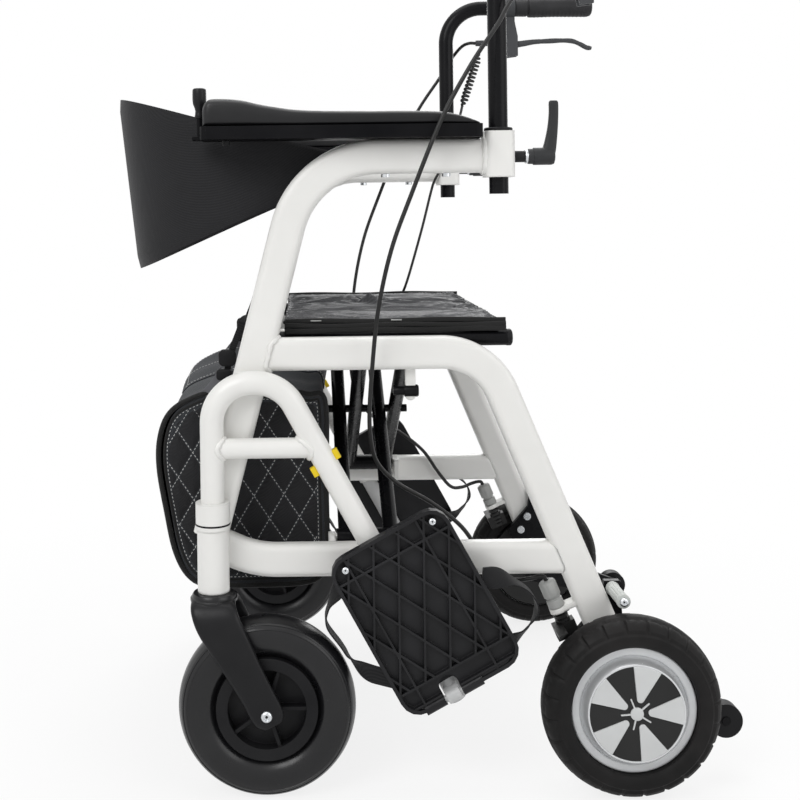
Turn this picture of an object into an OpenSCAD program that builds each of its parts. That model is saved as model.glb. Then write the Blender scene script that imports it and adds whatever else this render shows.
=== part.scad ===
// Folding electric rollator and transport chair. Millimetres, +Z up, the casters lead towards -X.
// The origin is on the floor under the middle of the chair. Left is -Y, right is +Y.

/* [Frame] */
// Distance from the middle of the chair to each side frame
frame_y = 235; // [228:1:250]
// Height of the main tube section, seen from the side
tube_h = 40; // [36:1:44]
// Width of the main tube section, across the chair
tube_w = 25; // [22:1:27]
// Corner radius of the main tube section
tube_r = 9; // [5:0.5:10]
// How much slimmer the rails are than the main tube
rail_step = 2; // [1:0.5:4]
// Height of the armrest tube's centre
arm_z = 717; // [700:1:740]
// Height of the seat rail's centre
rail_z = 491; // [480:1:500]
// Height of the lower rail's centre
low_z = 254.5; // [250:0.5:262]
// Lean of the front leg from upright
front_lean = 14.8; // [13:0.1:16]
// Lean of the rear leg from upright
rear_lean = 22.4; // [21:0.1:24]
// Diameter of the caster arch tube
arch_d = 27; // [24:1:29]
// Height of the caster arch's top run
arch_z = 462; // [455:1:470]
// Lean of the arch's long strut from upright
strut_lean = 28.6; // [27:0.1:30]

/* [Wheels] */
// Diameter of every road wheel
wheel_d = 200; // [190:1:204]
// Width of a caster tyre
caster_w = 44; // [38:1:46]
// Width of a rear tyre
rear_w = 50; // [44:1:52]
// Distance of the caster's stem in front of the origin
stem_x = 229; // [225:1:233]
// Trail of the caster wheel behind its stem
trail = 59; // [50:1:62]
// Distance of the rear axle behind the origin
rear_x = 236; // [230:1:242]
// Diameter of the anti-tip roller
roller_d = 38; // [30:1:42]

/* [Handles] */
// Diameter of the handle post
post_d = 22; // [20:1:24]
// Height of the handle's level run
grip_z = 965; // [940:1:990]
// Diameter of the grip
grip_d = 31; // [28:1:36]
// Length of the grip
grip_l = 119; // [105:1:122]
// Length of the brake lever beyond its pivot
lever_l = 124; // [100:1:128]

/* [Seat] */
// Height of the seat tubes' centres
seat_z = 504; // [500:1:512]
// Diameter of the seat tubes
seat_d = 19; // [16:1:20]
// Distance of each seat tube from the middle of the chair
seat_y = 206; // [202:1:206]
// Length of the seat cushion, front to back
cushion_l = 251; // [220:1:256]
// Height of the cushion's crown above its edge
crown = 10; // [4:1:16]
// Height of the backrest band in its middle
back_h = 221; // [180:1:240]
// Thickness of the backrest band
back_t = 7; // [5:0.5:9]

/* [Footrests] */
// Width of a foot plate
plate_w = 146; // [130:1:150]
// Length of a foot plate
plate_l = 196; // [170:1:200]
// Thickness of a foot plate
plate_t = 12; // [10:0.5:14]

/* [Hidden] */
$fn = 64;
SIDES = ["left", "right"];
SIDE_NODES = [
    "side_bow", "seat_rail", "lower_rail", "caster_arch", "armrest_base", "armrest_pad",
    "handle_post", "handle_grip", "brake_bracket", "brake_lever", "clamp_lever",
    "caster_fork", "caster_hub", "caster_tyre", "hub_motor", "rear_rim", "rear_tyre",
    "axle_bracket", "step_peg", "anti_tip_roller", "brake_barrel", "brake_plunger",
    "foot_hanger", "foot_plate", "heel_strap", "brake_cable", "fasteners"];

white = "white";
black = [0.08, 0.08, 0.08];
grey = [0.45, 0.46, 0.47];
dark = [0.2, 0.2, 0.21];
silver = [0.75, 0.76, 0.78];
running_fit = 0.05;
slide_fit = 0.1;
gap = 0.3;
weld = 1;
wheel_r = wheel_d / 2;

// Lines of the side frame, each as X at a height, in the frame's own plane
front_x0 = -162.5;
front_z0 = 553.5;
rear_leg_x0 = 155.8;
rear_leg_z0 = 318.6;
strut_x0 = -114.7;
strut_z0 = 396.7;
function front_leg_x(z) = front_x0 - (front_z0 - z) * tan(front_lean);
function rear_leg_x(z) = rear_leg_x0 + (rear_leg_z0 - z) * tan(rear_lean);
function strut_x(z) = strut_x0 + (strut_z0 - z) * tan(strut_lean);

post_x = 103.6;
post_bend_r = 55;
collar_l = 34;
collar_w = 35;
collar_h = 53;
collar_wall_x = post_x - collar_l / 2;
collar_r = 7;
rear_leg_foot_z = 150;
rail_h = tube_h - rail_step;
rail_w = tube_w - rail_step;
bow_bend_r = 107;
rail_bend_r = 75;
low_bend_r = 120;
leg_foot_z = 284;
low_bend_x = -182;
low_end_z = 278;
caster_y = frame_y + tube_w / 2 + arch_d / 2 + gap;
head_d = 36;
head_cap_d = 39;
head_cap_h = 30;
head_bottom_z = 228;
head_top_z = 328;
stem_d = 20;
caster_axle_d = 12;
arch_front_r = 45;
arch_back_r = 50;
strut_end_z = 232;
hanger_d = 22;
hanger_socket = 45;
arch_cross_z = 388;
arch_cross_d = 23;

base_h = 15;
base_w = 50;
base_y = frame_y + 12;
base_front_x = -238;
base_back_x = collar_wall_x - 5;
base_z = arm_z + tube_h / 2;
base_r = 8;
pad_w = 48;
pad_side = 3;
// Pad profile as steps back from its front and rises above the base, then steps forward from its back
pad_front = [[2, 27], [10, 32], [42, 30], [67, 24], [110, 18]];
pad_rear = [[42, 15], [20, 9], [4, 3]];
hook_d = 8;
hook_h = 46;
hook_foot = 24;
hook_foot_t = 4;
hook_x = base_front_x - 4;
hook_y = base_y - base_w / 2 - 7;
knob_d = 15;
knob_h = 17;

rear_y = frame_y + tube_w / 2 + 4.5 + rear_w / 2;
axle_d = 16;
rim_d = 140;
rim_lip = 4;
rim_sunk = 8;
// The polished cap rises from the sunk lip and stands proud of the tyre
cap_d = 108;
cap_proud = 2;
cap_t = 5;
motor_d = 104;
rim_turn = 40;
rim_window = [[18, -5], [46, -17], [48, 0], [46, 17], [18, 5]];
bracket_t = 8;
bracket_y = frame_y - rail_w / 2;
peg_d = 16;
peg_x = 231;
peg_z = wheel_d + peg_d / 2 + 5;
peg_l = 50;
roller_x = 352;
roller_z = 68;
roller_w = 16;
roller_pin_d = 10;

// The parking brake stands in front of the rear leg, parallel to it
brake_x = 152;
brake_z = 226;
barrel_d = 20;
barrel_l = 32;
lug_t = 6;
neck_d = 12;
bellows_d = 17;
bellows_l = 30;
brake_travel = 3;

lever_x = 206;
grip_x = lever_x + 4;
grip_ring_l = 20;
lever_z = grip_z - 59;
lever_pin_d = 6;
lever_boss_d = 15;
lever_t = 9;
cheek_t = 3;
stub_d = 9;
stub_x = 150;
stub_z = lever_z + 5;
clamp_z = arm_z - 2;
stud_d = 8;
clamp_hub_x = post_x + 36;
clamp_hub_d = 20;
clamp_hub_l = 28;
clamp_arm = [9, 10, 64];
clamp_arm_lean = 4;

pivot_z = 270;
pivot_y = seat_y;
pivot_d = 22;
pivot_rod_d = 12;
pivot_l = 75;
lug_gap = 2;
pivot_lug_t = 8;
bar_d = 18;
bar_pitch = 53;
left_brace_x = -50;
right_brace_x = -28;
seat_front_x = -150;
seat_back_x = 119;
cushion_front_x = -146;
cushion_y = seat_y + 6;
cushion_edge = 7;
brace_run = 2 * pivot_y;
brace_rise = seat_z - pivot_z;
brace_len = norm([brace_run, brace_rise]);
brace_angle = atan2(brace_rise, brace_run);
centre_bolt_d = 10;

hinge_z = 116;
hinge_x = strut_x(hinge_z);
hinge_y = caster_y + 22;
hinge_pin_d = 8;
hinge_lug = 16;
hinge_lug_h = 14;
hinge_notch = 22;
hinge_pin_l = 72;
hanger_tail = 14;
plate_shift = 17;
plate_low = 1;
plate_corner = 22;
plate_floor = 3;
plate_rim = 4;
plate_rib = 2.5;
rib_pitch = 28;
long_ribs = [-50, 40];
cross_ribs = [7, 28, 167];

back_x = -66;
back_z = arm_z - 8;
back_reach = 283;
back_lean = 12;
back_y = 206;
back_end_h = 24;
back_drop = 16.5;
back_taper = 1.1;
back_pin_d = 14;

// Rounded oblong as a list of points, with n steps in each corner
function oblong(l, w, r, n = 4) = [
    for (q = [0:3]) for (i = [0:n])
        let (a = 90 * q + 90 * i / n,
             cx = (q == 0 || q == 3 ? 1 : -1) * (l / 2 - r),
             cy = (q < 2 ? 1 : -1) * (w / 2 - r))
        [cx + r * cos(a), cy + r * sin(a)]];

function unit(v) = v / norm(v);
function turn(a, b) = atan2(a[0] * b[1] - a[1] * b[0], a * b);

// Bent tube along points in the X-Z plane, with a bend radius at each inner point. The child is its section.
// A core reaches a little past each straight run, so that runs and bends are one body.
module bent_tube(pts, radii) {
    n = len(pts);
    dirs = [for (i = [0:n - 2]) unit(pts[i + 1] - pts[i])];
    cuts = [for (i = [0:n - 1])
        i == 0 || i == n - 1 ? 0 : radii[i - 1] * tan(abs(turn(dirs[i - 1], dirs[i])) / 2)];
    for (i = [0:n - 2]) {
        a = pts[i] + dirs[i] * cuts[i];
        l = norm(pts[i + 1] - pts[i]) - cuts[i] - cuts[i + 1];
        core_from = cuts[i] > 0 ? -weld : weld;
        core_to = cuts[i + 1] > 0 ? l + weld : l - weld;
        translate([a[0], 0, a[1]]) rotate([0, atan2(dirs[i][0], dirs[i][1]), 0]) {
            linear_extrude(l) children();
            translate([0, 0, core_from]) linear_extrude(core_to - core_from) scale(0.9) children();
        }
    }
    if (n > 2)
        for (i = [1:n - 2]) {
            bend = turn(dirs[i - 1], dirs[i]);
            c = pts[i] + unit(dirs[i] - dirs[i - 1]) * radii[i - 1] / cos(bend / 2);
            v = pts[i] - dirs[i - 1] * cuts[i] - c;
            first = atan2(-v[1], v[0]);
            translate([c[0], 0, c[1]])
                rotate([-90, 0, 0])
                    rotate([0, 0, bend > 0 ? first - bend : first])
                        rotate_extrude(angle = abs(bend), $fn = 96)
                            translate([radii[i - 1], 0]) children();
        }
}

// One unbroken tube swept along points in space, with round or oblong rings
function tangent(p, i) = unit(p[min(i + 1, len(p) - 1)] - p[max(i - 1, 0)]);
module swept(path, ring, side = [0, 1, 0]) {
    m = len(ring);
    n = len(path);
    points = [for (i = [0:n - 1])
        let (t = tangent(path, i), u = unit(cross(side, t)), v = cross(t, u))
        for (q = ring) path[i] + u * q[0] + v * q[1]];
    walls = [for (i = [0:n - 2]) for (j = [0:m - 1])
        let (k = (j + 1) % m, a = i * m + j, b = i * m + k)
        each [[a, a + m, b], [b, a + m, b + m]]];
    ends = [for (j = [1:m - 2]) each [[0, j, j + 1], [(n - 1) * m, (n - 1) * m + j + 1, (n - 1) * m + j]]];
    polyhedron(points, concat(walls, ends));
}
function ring(d, n) = [for (j = [0:n - 1]) d / 2 * [cos(360 * j / n), sin(360 * j / n)]];

// Smooth curve through chosen points, with n steps between each pair
function between(p, i, t) =
    let (a = p[max(i - 1, 0)], b = p[i], c = p[i + 1], d = p[min(i + 2, len(p) - 1)])
    0.5 * (2 * b + (c - a) * t + (2 * a - 5 * b + 4 * c - d) * t * t + (3 * b - a - 3 * c + d) * t * t * t);
function smooth(p, n) = concat(
    [for (i = [0:len(p) - 2]) for (k = [0:n - 1]) between(p, i, k / n)], [p[len(p) - 1]]);

// Draws a left-hand piece, or its mirror image for the right
module on_side(s) {
    if (s == "left") children();
    else mirror([0, 1, 0]) children();
}
module in_plane(y) { translate([0, -y, 0]) children(); }
module along_y(d, from, to) {
    translate([0, -from, 0]) rotate([90, 0, 0]) cylinder(d = d, h = to - from);
}
module along_x(d, from, to) { translate([from, 0, 0]) rotate([0, 90, 0]) cylinder(d = d, h = to - from); }
module plate_y(from, to) { translate([0, -from, 0]) rotate([90, 0, 0]) linear_extrude(to - from) children(); }

main_section = oblong(tube_h, tube_w, tube_r);
rail_section = oblong(rail_h, rail_w, tube_r - rail_step / 2);
low_section = oblong(rail_h, rail_w - rail_step / 2, tube_r - rail_step / 2);

module bow_tube() {
    in_plane(frame_y)
        bent_tube([[collar_wall_x + 2, arm_z], [front_leg_x(arm_z), arm_z],
            [front_leg_x(leg_foot_z), leg_foot_z]], [bow_bend_r]) polygon(main_section);
}
module front_leg() {
    in_plane(frame_y)
        bent_tube([[front_leg_x(rail_z), rail_z], [front_leg_x(leg_foot_z), leg_foot_z]], [])
            polygon(main_section);
}
module side_bow() {
    color(white) difference() {
        union() {
            bow_tube();
            translate([post_x, -frame_y, arm_z - collar_h / 2 + 1])
                linear_extrude(collar_h) polygon(oblong(collar_l, collar_w, collar_r));
            translate([back_x, 0, back_z]) along_y(back_pin_d, back_y + back_t / 2 + gap, frame_y);
        }
        translate([post_x, -frame_y, arm_z - collar_h])
            cylinder(d = post_d + 2 * slide_fit, h = 2 * collar_h);
        translate([0, -frame_y, clamp_z]) along_x(stud_d + 2 * running_fit, post_x, post_x + collar_l);
    }
}

module rail_tube() {
    in_plane(frame_y)
        bent_tube([[front_leg_x(rail_z), rail_z], [rear_leg_x(rail_z), rail_z],
            [rear_leg_x(rear_leg_foot_z), rear_leg_foot_z]], [rail_bend_r]) polygon(rail_section);
}
module at_brake() { translate([brake_x, -frame_y, brake_z]) rotate([0, -rear_lean, 0]) children(); }
module brake_lug() {
    reach = (rear_leg_x(brake_z) - brake_x) * cos(rear_lean) - rail_h / 2 + 1;
    at_brake() translate([0, 0, -barrel_l - lug_t]) linear_extrude(lug_t) {
        circle(d = barrel_d);
        translate([0, -barrel_d / 2 + 2]) square([reach, barrel_d - 4]);
    }
}
module seat_rail() {
    color(white) difference() {
        union() {
            rail_tube();
            brake_lug();
        }
        bow_tube();
        at_brake() translate([0, 0, -barrel_l - 2 * lug_t])
            cylinder(d = neck_d + 2 * running_fit, h = 3 * lug_t);
    }
}

module low_tube() {
    in_plane(frame_y)
        bent_tube([[rear_leg_x(low_z), low_z], [low_bend_x, low_z], [front_leg_x(low_end_z), low_end_z]],
            [low_bend_r]) polygon(low_section);
}
// The lower rail curves up to the front leg and carries the rod on which a cross brace turns
module lower_rail(s) {
    mid = s == "left" ? left_brace_x : right_brace_x;
    far = pivot_l / 2 + lug_gap + pivot_lug_t;
    color(white) difference() {
        union() {
            low_tube();
            for (x = [mid - far, mid + far - pivot_lug_t])
                translate([x, -frame_y, low_z - 8]) cube([pivot_lug_t, frame_y - pivot_y + 12, 28]);
            translate([0, -pivot_y, pivot_z]) along_x(pivot_rod_d, mid - far, mid + far);
        }
        front_leg();
        rail_tube();
    }
}

// The head tube has a flat where it is welded to the front leg
module caster_arch() {
    color(white) difference() {
        union() {
            in_plane(caster_y)
                bent_tube([[-stem_x, head_top_z], [-stem_x, arch_z], [strut_x(arch_z), arch_z],
                    [strut_x(strut_end_z), strut_end_z]], [arch_front_r, arch_back_r]) circle(d = arch_d);
            translate([0, -caster_y, arch_cross_z]) along_x(arch_cross_d, -stem_x, strut_x(arch_cross_z));
            translate([-stem_x, -caster_y, head_bottom_z])
                cylinder(d = head_d, h = head_top_z - head_bottom_z);
            translate([-stem_x, -caster_y, head_top_z - head_cap_h])
                cylinder(d = head_cap_d, h = head_cap_h);
        }
        translate([-stem_x - head_cap_d, -frame_y - tube_w / 2, head_bottom_z - 1])
            cube([2 * head_cap_d, head_cap_d, head_top_z - head_bottom_z + 2]);
        translate([-stem_x, -caster_y, head_bottom_z - 1])
            cylinder(d = stem_d + 2 * running_fit, h = head_top_z - head_bottom_z - head_cap_h);
        at_strut(strut_end_z) translate([0, 0, -1])
            cylinder(d = hanger_d + 2 * running_fit, h = hanger_socket + 1);
    }
}
module at_strut(z) { translate([strut_x(z), -caster_y, z]) rotate([0, -strut_lean, 0]) children(); }

module armrest_base() {
    color(black) {
        translate([(base_front_x + base_back_x) / 2, -base_y, base_z])
            linear_extrude(base_h) polygon(oblong(base_back_x - base_front_x, base_w, base_r));
        translate([hook_x - hook_d, -hook_y - hook_foot + hook_d + 1, base_z + 2])
            cube([hook_foot, hook_foot, hook_foot_t]);
        translate([hook_x, -hook_y, base_z + 2]) {
            cylinder(d = hook_d, h = hook_h);
            translate([0, 0, hook_h - 3]) cylinder(d = knob_d, h = knob_h);
        }
    }
}
module armrest_pad() {
    z = base_z + base_h;
    back = base_back_x - pad_side;
    front = base_front_x + pad_side;
    color(black) plate_y(base_y - pad_w / 2, base_y + pad_w / 2)
        polygon(concat([[front, z]], [for (p = pad_front) [front + p[0], z + p[1]]],
            [for (p = pad_rear) [back - p[0], z + p[1]]], [[back, z]]));
}

module handle_post() {
    color(black) in_plane(frame_y)
        bent_tube([[post_x, arm_z - collar_h / 2 - 18], [post_x, grip_z], [lever_x + grip_l + 2, grip_z]],
            [post_bend_r]) circle(d = post_d);
}
module handle_grip() {
    color(black) translate([0, -frame_y, grip_z]) difference() {
        union() {
            along_x(grip_d, grip_x + grip_ring_l, grip_x + grip_l);
            along_x(grip_d - 3, grip_x, grip_x + grip_ring_l);
        }
        along_x(post_d + 2 * running_fit, lever_x - 4, lever_x + grip_l + 2);
    }
}
module brake_bracket() {
    inner = lever_t / 2 + 0.5;
    color(dark) difference() {
        union() {
            translate([0, -frame_y, grip_z]) along_x(post_d + 12, lever_x - 12, lever_x + 3.5);
            for (y = [frame_y - inner - cheek_t, frame_y + inner])
                plate_y(y, y + cheek_t)
                    polygon([[lever_x - 12, grip_z], [lever_x + 3.5, grip_z], [lever_x + 3.5, grip_z - 22],
                        [lever_x + 8, lever_z + 14], [lever_x + 8, lever_z - 16],
                        [lever_x - 8, lever_z - 18], [lever_x - 12, lever_z]]);
            translate([lever_x, 0, lever_z])
                along_y(lever_pin_d, frame_y - inner - cheek_t, frame_y + inner + cheek_t);
            translate([lever_x - 18, -frame_y - inner - cheek_t, stub_z - 8])
                cube([8, 2 * (inner + cheek_t), 40]);
            translate([0, -frame_y, stub_z]) along_x(stub_d, stub_x, lever_x - 14);
        }
        translate([0, -frame_y, grip_z]) along_x(post_d + 2 * running_fit, lever_x - 20, lever_x + 10);
    }
}
module brake_lever() {
    tip = lever_x + lever_l;
    color(dark) difference() {
        union() {
            translate([lever_x, 0, lever_z])
                along_y(lever_boss_d, frame_y - lever_t / 2, frame_y + lever_t / 2);
            plate_y(frame_y - lever_t / 2, frame_y + lever_t / 2)
                polygon([[lever_x, lever_z - 5], [lever_x + 24, lever_z + 2], [tip - 40, lever_z + 4],
                    [tip - 12, lever_z + 2], [tip - 2, lever_z - 7], [tip, lever_z - 1],
                    [tip - 10, lever_z + 9], [tip - 40, lever_z + 11],
                    [lever_x + 24, lever_z + 10], [lever_x, lever_z + 7]]);
        }
        translate([lever_x, 0, lever_z])
            along_y(lever_pin_d + 2 * running_fit, frame_y - lever_t, frame_y + lever_t);
    }
}
module clamp_lever() {
    color(black) translate([0, -frame_y, clamp_z]) {
        along_x(stud_d, post_x + post_d / 2 + 2, clamp_hub_x + 2);
        along_x(clamp_hub_d, clamp_hub_x, clamp_hub_x + clamp_hub_l);
        translate([clamp_hub_x + clamp_hub_l - clamp_arm[0] - 1, -clamp_arm[1] / 2, 0])
            rotate([0, clamp_arm_lean, 0]) cube(clamp_arm);
    }
}

module caster_fork() {
    axle_x = trail - stem_x;
    inner = caster_w / 2 + 4;
    outer = inner + 9;
    crown_z = wheel_d - 2;
    color(black) {
        for (y = [caster_y - outer, caster_y + inner])
            plate_y(y, y + outer - inner) {
                polygon([[-stem_x - 21, head_bottom_z - 4], [-stem_x + 27, head_bottom_z - 4],
                    [-stem_x + 30, head_bottom_z - 26], [axle_x - 24, wheel_r + 26],
                    [axle_x + 12, wheel_r + 9], [axle_x + 9, wheel_r - 12], [axle_x - 9, wheel_r - 14],
                    [-stem_x - 8, wheel_r + 62], [-stem_x - 22, head_bottom_z - 26]]);
                translate([axle_x, wheel_r]) circle(d = 32);
            }
        translate([-stem_x - 21, -caster_y - inner - 1, crown_z])
            cube([46, 2 * inner + 2, head_bottom_z - 4 - crown_z]);
        translate([-stem_x, -caster_y, head_bottom_z - 6])
            cylinder(d = stem_d, h = head_top_z - head_cap_h - head_bottom_z);
        translate([axle_x, 0, wheel_r]) along_y(caster_axle_d, caster_y - inner - 1, caster_y + inner + 1);
    }
}
module at_caster() { translate([trail - stem_x, -caster_y, wheel_r]) rotate([90, 0, 0]) children(); }
caster_rim_d = 114;
module caster_hub() {
    half = caster_w / 2;
    color(black) at_caster() difference() {
        union() {
            difference() {
                translate([0, 0, -half + 3]) cylinder(d = caster_rim_d, h = caster_w - 6);
                for (z = [-half, 4]) translate([0, 0, z]) cylinder(d = caster_rim_d - 26, h = half - 4);
            }
            cylinder(d = 30, h = caster_w, center = true);
            for (a = [0:72:359]) rotate([0, 0, a]) translate([10, -2, -half + 6])
                cube([caster_rim_d / 2 - 20, 4, caster_w - 12]);
        }
        cylinder(d = caster_axle_d + 2 * running_fit, h = 2 * caster_w, center = true);
    }
}
function tyre_profile(inner, outer, w, shoulder) = concat(
    [[inner, -w / 2 + 4], [inner + 6, -w / 2]],
    [for (a = [-90:22.5:90])
        [outer - shoulder + shoulder * cos(a), sign(a) * (w / 2 - shoulder) + shoulder * sin(a)]],
    [[inner + 6, w / 2], [inner, w / 2 - 4]]);
module caster_tyre() {
    color(dark) at_caster() rotate_extrude($fn = 96)
        polygon(tyre_profile(caster_rim_d / 2 + slide_fit, wheel_r, caster_w, 14));
}

module at_rear() { translate([rear_x, -rear_y, wheel_r]) rotate([90, 0, 0]) children(); }
module hub_motor() {
    color(black) {
        at_rear() translate([0, 0, -12]) cylinder(d = motor_d, h = 24);
        translate([rear_x, 0, wheel_r]) along_y(axle_d, bracket_y - bracket_t - 8, rear_y);
    }
}
module rear_rim() {
    half = rear_w / 2;
    color(silver) at_rear() difference() {
        rotate_extrude($fn = 96)
            polygon([[axle_d / 2 + running_fit, -half + 3], [rim_d / 2 - 2, -half + 3],
                [rim_d / 2, -half + 8], [rim_d / 2, half - rim_sunk - 2],
                [rim_d / 2 - rim_lip / 2, half - rim_sunk], [rim_d / 2 - rim_lip, half - rim_sunk],
                [rim_d / 2 - 2 * rim_lip, half - rim_sunk - 1],
                [cap_d / 2, half + cap_proud], [0, half + cap_proud], [0, half + cap_proud - cap_t],
                [cap_d / 2 - cap_t, half + cap_proud - cap_t],
                [motor_d / 2 + 5, half - 11], [motor_d / 2 + 5, -half + 8],
                [axle_d / 2 + running_fit, -half + 8]]);
        for (a = [rim_turn:72:359]) rotate([0, 0, a]) translate([0, 0, half - 20])
            linear_extrude(20 + 2 * cap_proud) polygon(rim_window);
    }
}
module rear_tyre() {
    color(dark) at_rear() rotate_extrude($fn = 96)
        polygon(tyre_profile(rim_d / 2 + slide_fit, wheel_r, rear_w, 18));
}

module axle_bracket() {
    roller_y = frame_y + 8;
    color(dark) difference() {
        union() {
            plate_y(bracket_y - bracket_t, bracket_y) {
                polygon([[rear_x - 48, wheel_r + 62], [rear_x - 18, wheel_r + 96], [peg_x - 9, peg_z + 8],
                    [peg_x + 9, peg_z + 8], [rear_x + 8, wheel_r + 60], [rear_x + 26, wheel_r + 14],
                    [roller_x + 8, roller_z + 11], [roller_x + 4, roller_z - 10], [rear_x + 10, wheel_r - 24],
                    [rear_x - 22, wheel_r - 16]]);
                translate([roller_x, roller_z]) circle(d = 24);
            }
            translate([roller_x, 0, roller_z])
                along_y(roller_pin_d, bracket_y - 1, roller_y + roller_w / 2 + 1);
        }
        translate([rear_x, 0, wheel_r]) along_y(axle_d + 2 * running_fit, 0, frame_y);
    }
}
module step_peg() {
    color(grey) translate([peg_x, 0, peg_z]) {
        along_y(peg_d, bracket_y, bracket_y + peg_l);
        along_y(10, bracket_y + peg_l - 1, bracket_y + peg_l + 4);
    }
}
module anti_tip_roller() {
    mid = frame_y + 8;
    color(dark) translate([roller_x, 0, roller_z]) difference() {
        along_y(roller_d, mid - roller_w / 2, mid + roller_w / 2);
        along_y(roller_pin_d + 2 * running_fit, 0, 2 * mid);
    }
}

module brake_barrel() {
    color(grey) at_brake() {
        translate([0, 0, -barrel_l]) cylinder(d = barrel_d, h = barrel_l);
        translate([0, 0, -barrel_l - lug_t]) cylinder(d = neck_d, h = lug_t + 1);
    }
}
// The shoe reaches out over the tread and follows its curve
module brake_plunger() {
    top = -barrel_l - lug_t;
    shoe_gap = brake_travel + 0.8;
    color(black) {
        at_brake() translate([0, 0, top - bellows_l]) {
            cylinder(d = bellows_d - 5, h = bellows_l - gap);
            for (i = [0:4]) translate([0, 0, 2 + i * 5.5]) cylinder(d = bellows_d, h = 3);
        }
        difference() {
            at_brake() translate([-14, -38, top - bellows_l]) cube([26, 44, 18]);
            translate([rear_x, 0, wheel_r]) along_y(wheel_d + 2 * shoe_gap, frame_y + 8, rear_y + rear_w);
        }
    }
}

module at_plate() {
    translate([hinge_x, -hinge_y, hinge_z]) rotate([0, -strut_lean, 0]) rotate([90, 0, 0]) children();
}
module foot_hanger() {
    reach = (strut_end_z - hinge_z) / cos(strut_lean);
    arm = hinge_y - caster_y - 2;
    color(grey) {
        at_strut(strut_end_z) translate([0, 0, -reach - hanger_tail])
            cylinder(d = hanger_d, h = reach + hanger_tail + hanger_socket - 1);
        at_plate() {
            translate([-hinge_lug / 2, -hinge_lug_h / 2, -arm]) cube([hinge_lug, hinge_lug_h, arm]);
            rotate([0, 90, 0]) cylinder(d = hinge_lug_h, h = hinge_lug, center = true);
            rotate([0, 90, 0]) cylinder(d = hinge_pin_d, h = hinge_pin_l, center = true);
        }
    }
}
module plate_outline(inset) {
    translate([plate_shift, plate_l / 2 - plate_low])
        polygon(oblong(plate_w - 2 * inset, plate_l - 2 * inset, plate_corner - inset));
}
// Straight ribs, and two slanting families that cross in diamonds above the second cross rib
module plate_ribs() {
    for (x = long_ribs)
        translate([plate_shift + x - plate_rib / 2, -plate_low]) square([plate_rib, plate_l]);
    for (y = cross_ribs)
        translate([plate_shift - plate_w / 2, y - plate_rib / 2]) square([plate_w, plate_rib]);
    intersection() {
        translate([plate_shift - plate_w / 2, cross_ribs[1]]) square([plate_w, plate_l]);
        for (way = [-1, 1])
            translate([plate_shift, plate_l / 2]) rotate(way * strut_lean)
                for (k = [-4:4])
                    translate([k * rib_pitch - plate_rib / 2, -plate_l]) square([plate_rib, 2 * plate_l]);
    }
}
module foot_plate() {
    color(black) at_plate() difference() {
        union() {
            translate([0, 0, -plate_t / 2]) {
                linear_extrude(plate_floor) plate_outline(0);
                linear_extrude(plate_t) difference() {
                    plate_outline(0);
                    plate_outline(plate_rim);
                }
                linear_extrude(plate_t - 2) intersection() {
                    plate_outline(plate_rim / 2);
                    plate_ribs();
                }
            }
            rotate([0, 90, 0]) cylinder(d = plate_t, h = hinge_pin_l, center = true);
        }
        translate([0, 0, -plate_t]) linear_extrude(2 * plate_t) {
            translate([-hinge_notch / 2, -plate_t]) square([hinge_notch, plate_t + hinge_notch / 2]);
            translate([0, hinge_notch / 2]) circle(d = hinge_notch);
        }
        rotate([0, 90, 0]) cylinder(d = hinge_pin_d + 2 * running_fit, h = 2 * plate_w, center = true);
    }
}

// Heel loop of webbing, sewn flat to the foot side of the plate, as X and Z
strap_route = [[-62, 240], [-84, 222], [-95, 203], [-92, 186], [-72, 164], [-52, 143], [-28, 131], [0, 130],
    [35, 146], [68, 157], [98, 166], [126, 180], [141, 204], [129, 227], [100, 240], [72, 243]];
strap_w = 24;
strap_t = 2;
module heel_strap() {
    y = hinge_y - plate_t / 2 - slide_fit - strap_t / 2;
    route = [for (p = strap_route) [p[0], -y, p[1]]];
    color(black) swept(smooth(route, 3), oblong(strap_w, strap_t, 0.5, 1));
}

cable_d = 5;
cable_route = [
    [149.4, 235, 911], [139, 235, 911], [128, 246, 906], [112, 265, 886], [98, 275, 862],
    [67, 280, 817], [33, 281, 756], [-2, 281, 672], [-25, 279, 610],
    [-40, 274, 543], [-47, 264, 476], [-50, 254, 425], [-48, 240, 392],
    [-40, 225, 362], [-16, 217, 336], [24, 216, 312], [58, 216, 284], [80, 216, 252], [100, 219, 228],
    [118, 227, 224.5], [133, 234, 228], [142, 235, 230.4], [149, 235, 230.6], [151.6, 235, 226.6]];
module brake_cable() {
    route = [for (p = cable_route) [p[0], -p[1], p[2]]];
    color(black) swept(smooth(route, 3), ring(cable_d, 8), [0.6, 0, 0.8]);
}

arm_bolt_d = 10;
arm_bolt_h = 4;
arm_bolt_pitch = 70;
module fasteners() {
    arm_bolt_x = front_leg_x(arm_z) + bow_bend_r * tan((90 - front_lean) / 2) + arm_bolt_d;
    color(silver) {
        for (p = [[rear_x - 30, wheel_r + 62], [rear_x - 20, wheel_r + 82]])
            translate([p[0], 0, p[1]]) along_y(11, bracket_y - bracket_t - 5, bracket_y - bracket_t);
        translate([peg_x, 0, peg_z]) along_y(9, bracket_y - bracket_t - 4, bracket_y - bracket_t);
        for (x = [arm_bolt_x, arm_bolt_x + arm_bolt_pitch])
            translate([x, -frame_y, arm_z - tube_h / 2 - arm_bolt_h])
                cylinder(d = arm_bolt_d, h = arm_bolt_h);
    }
}

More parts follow.
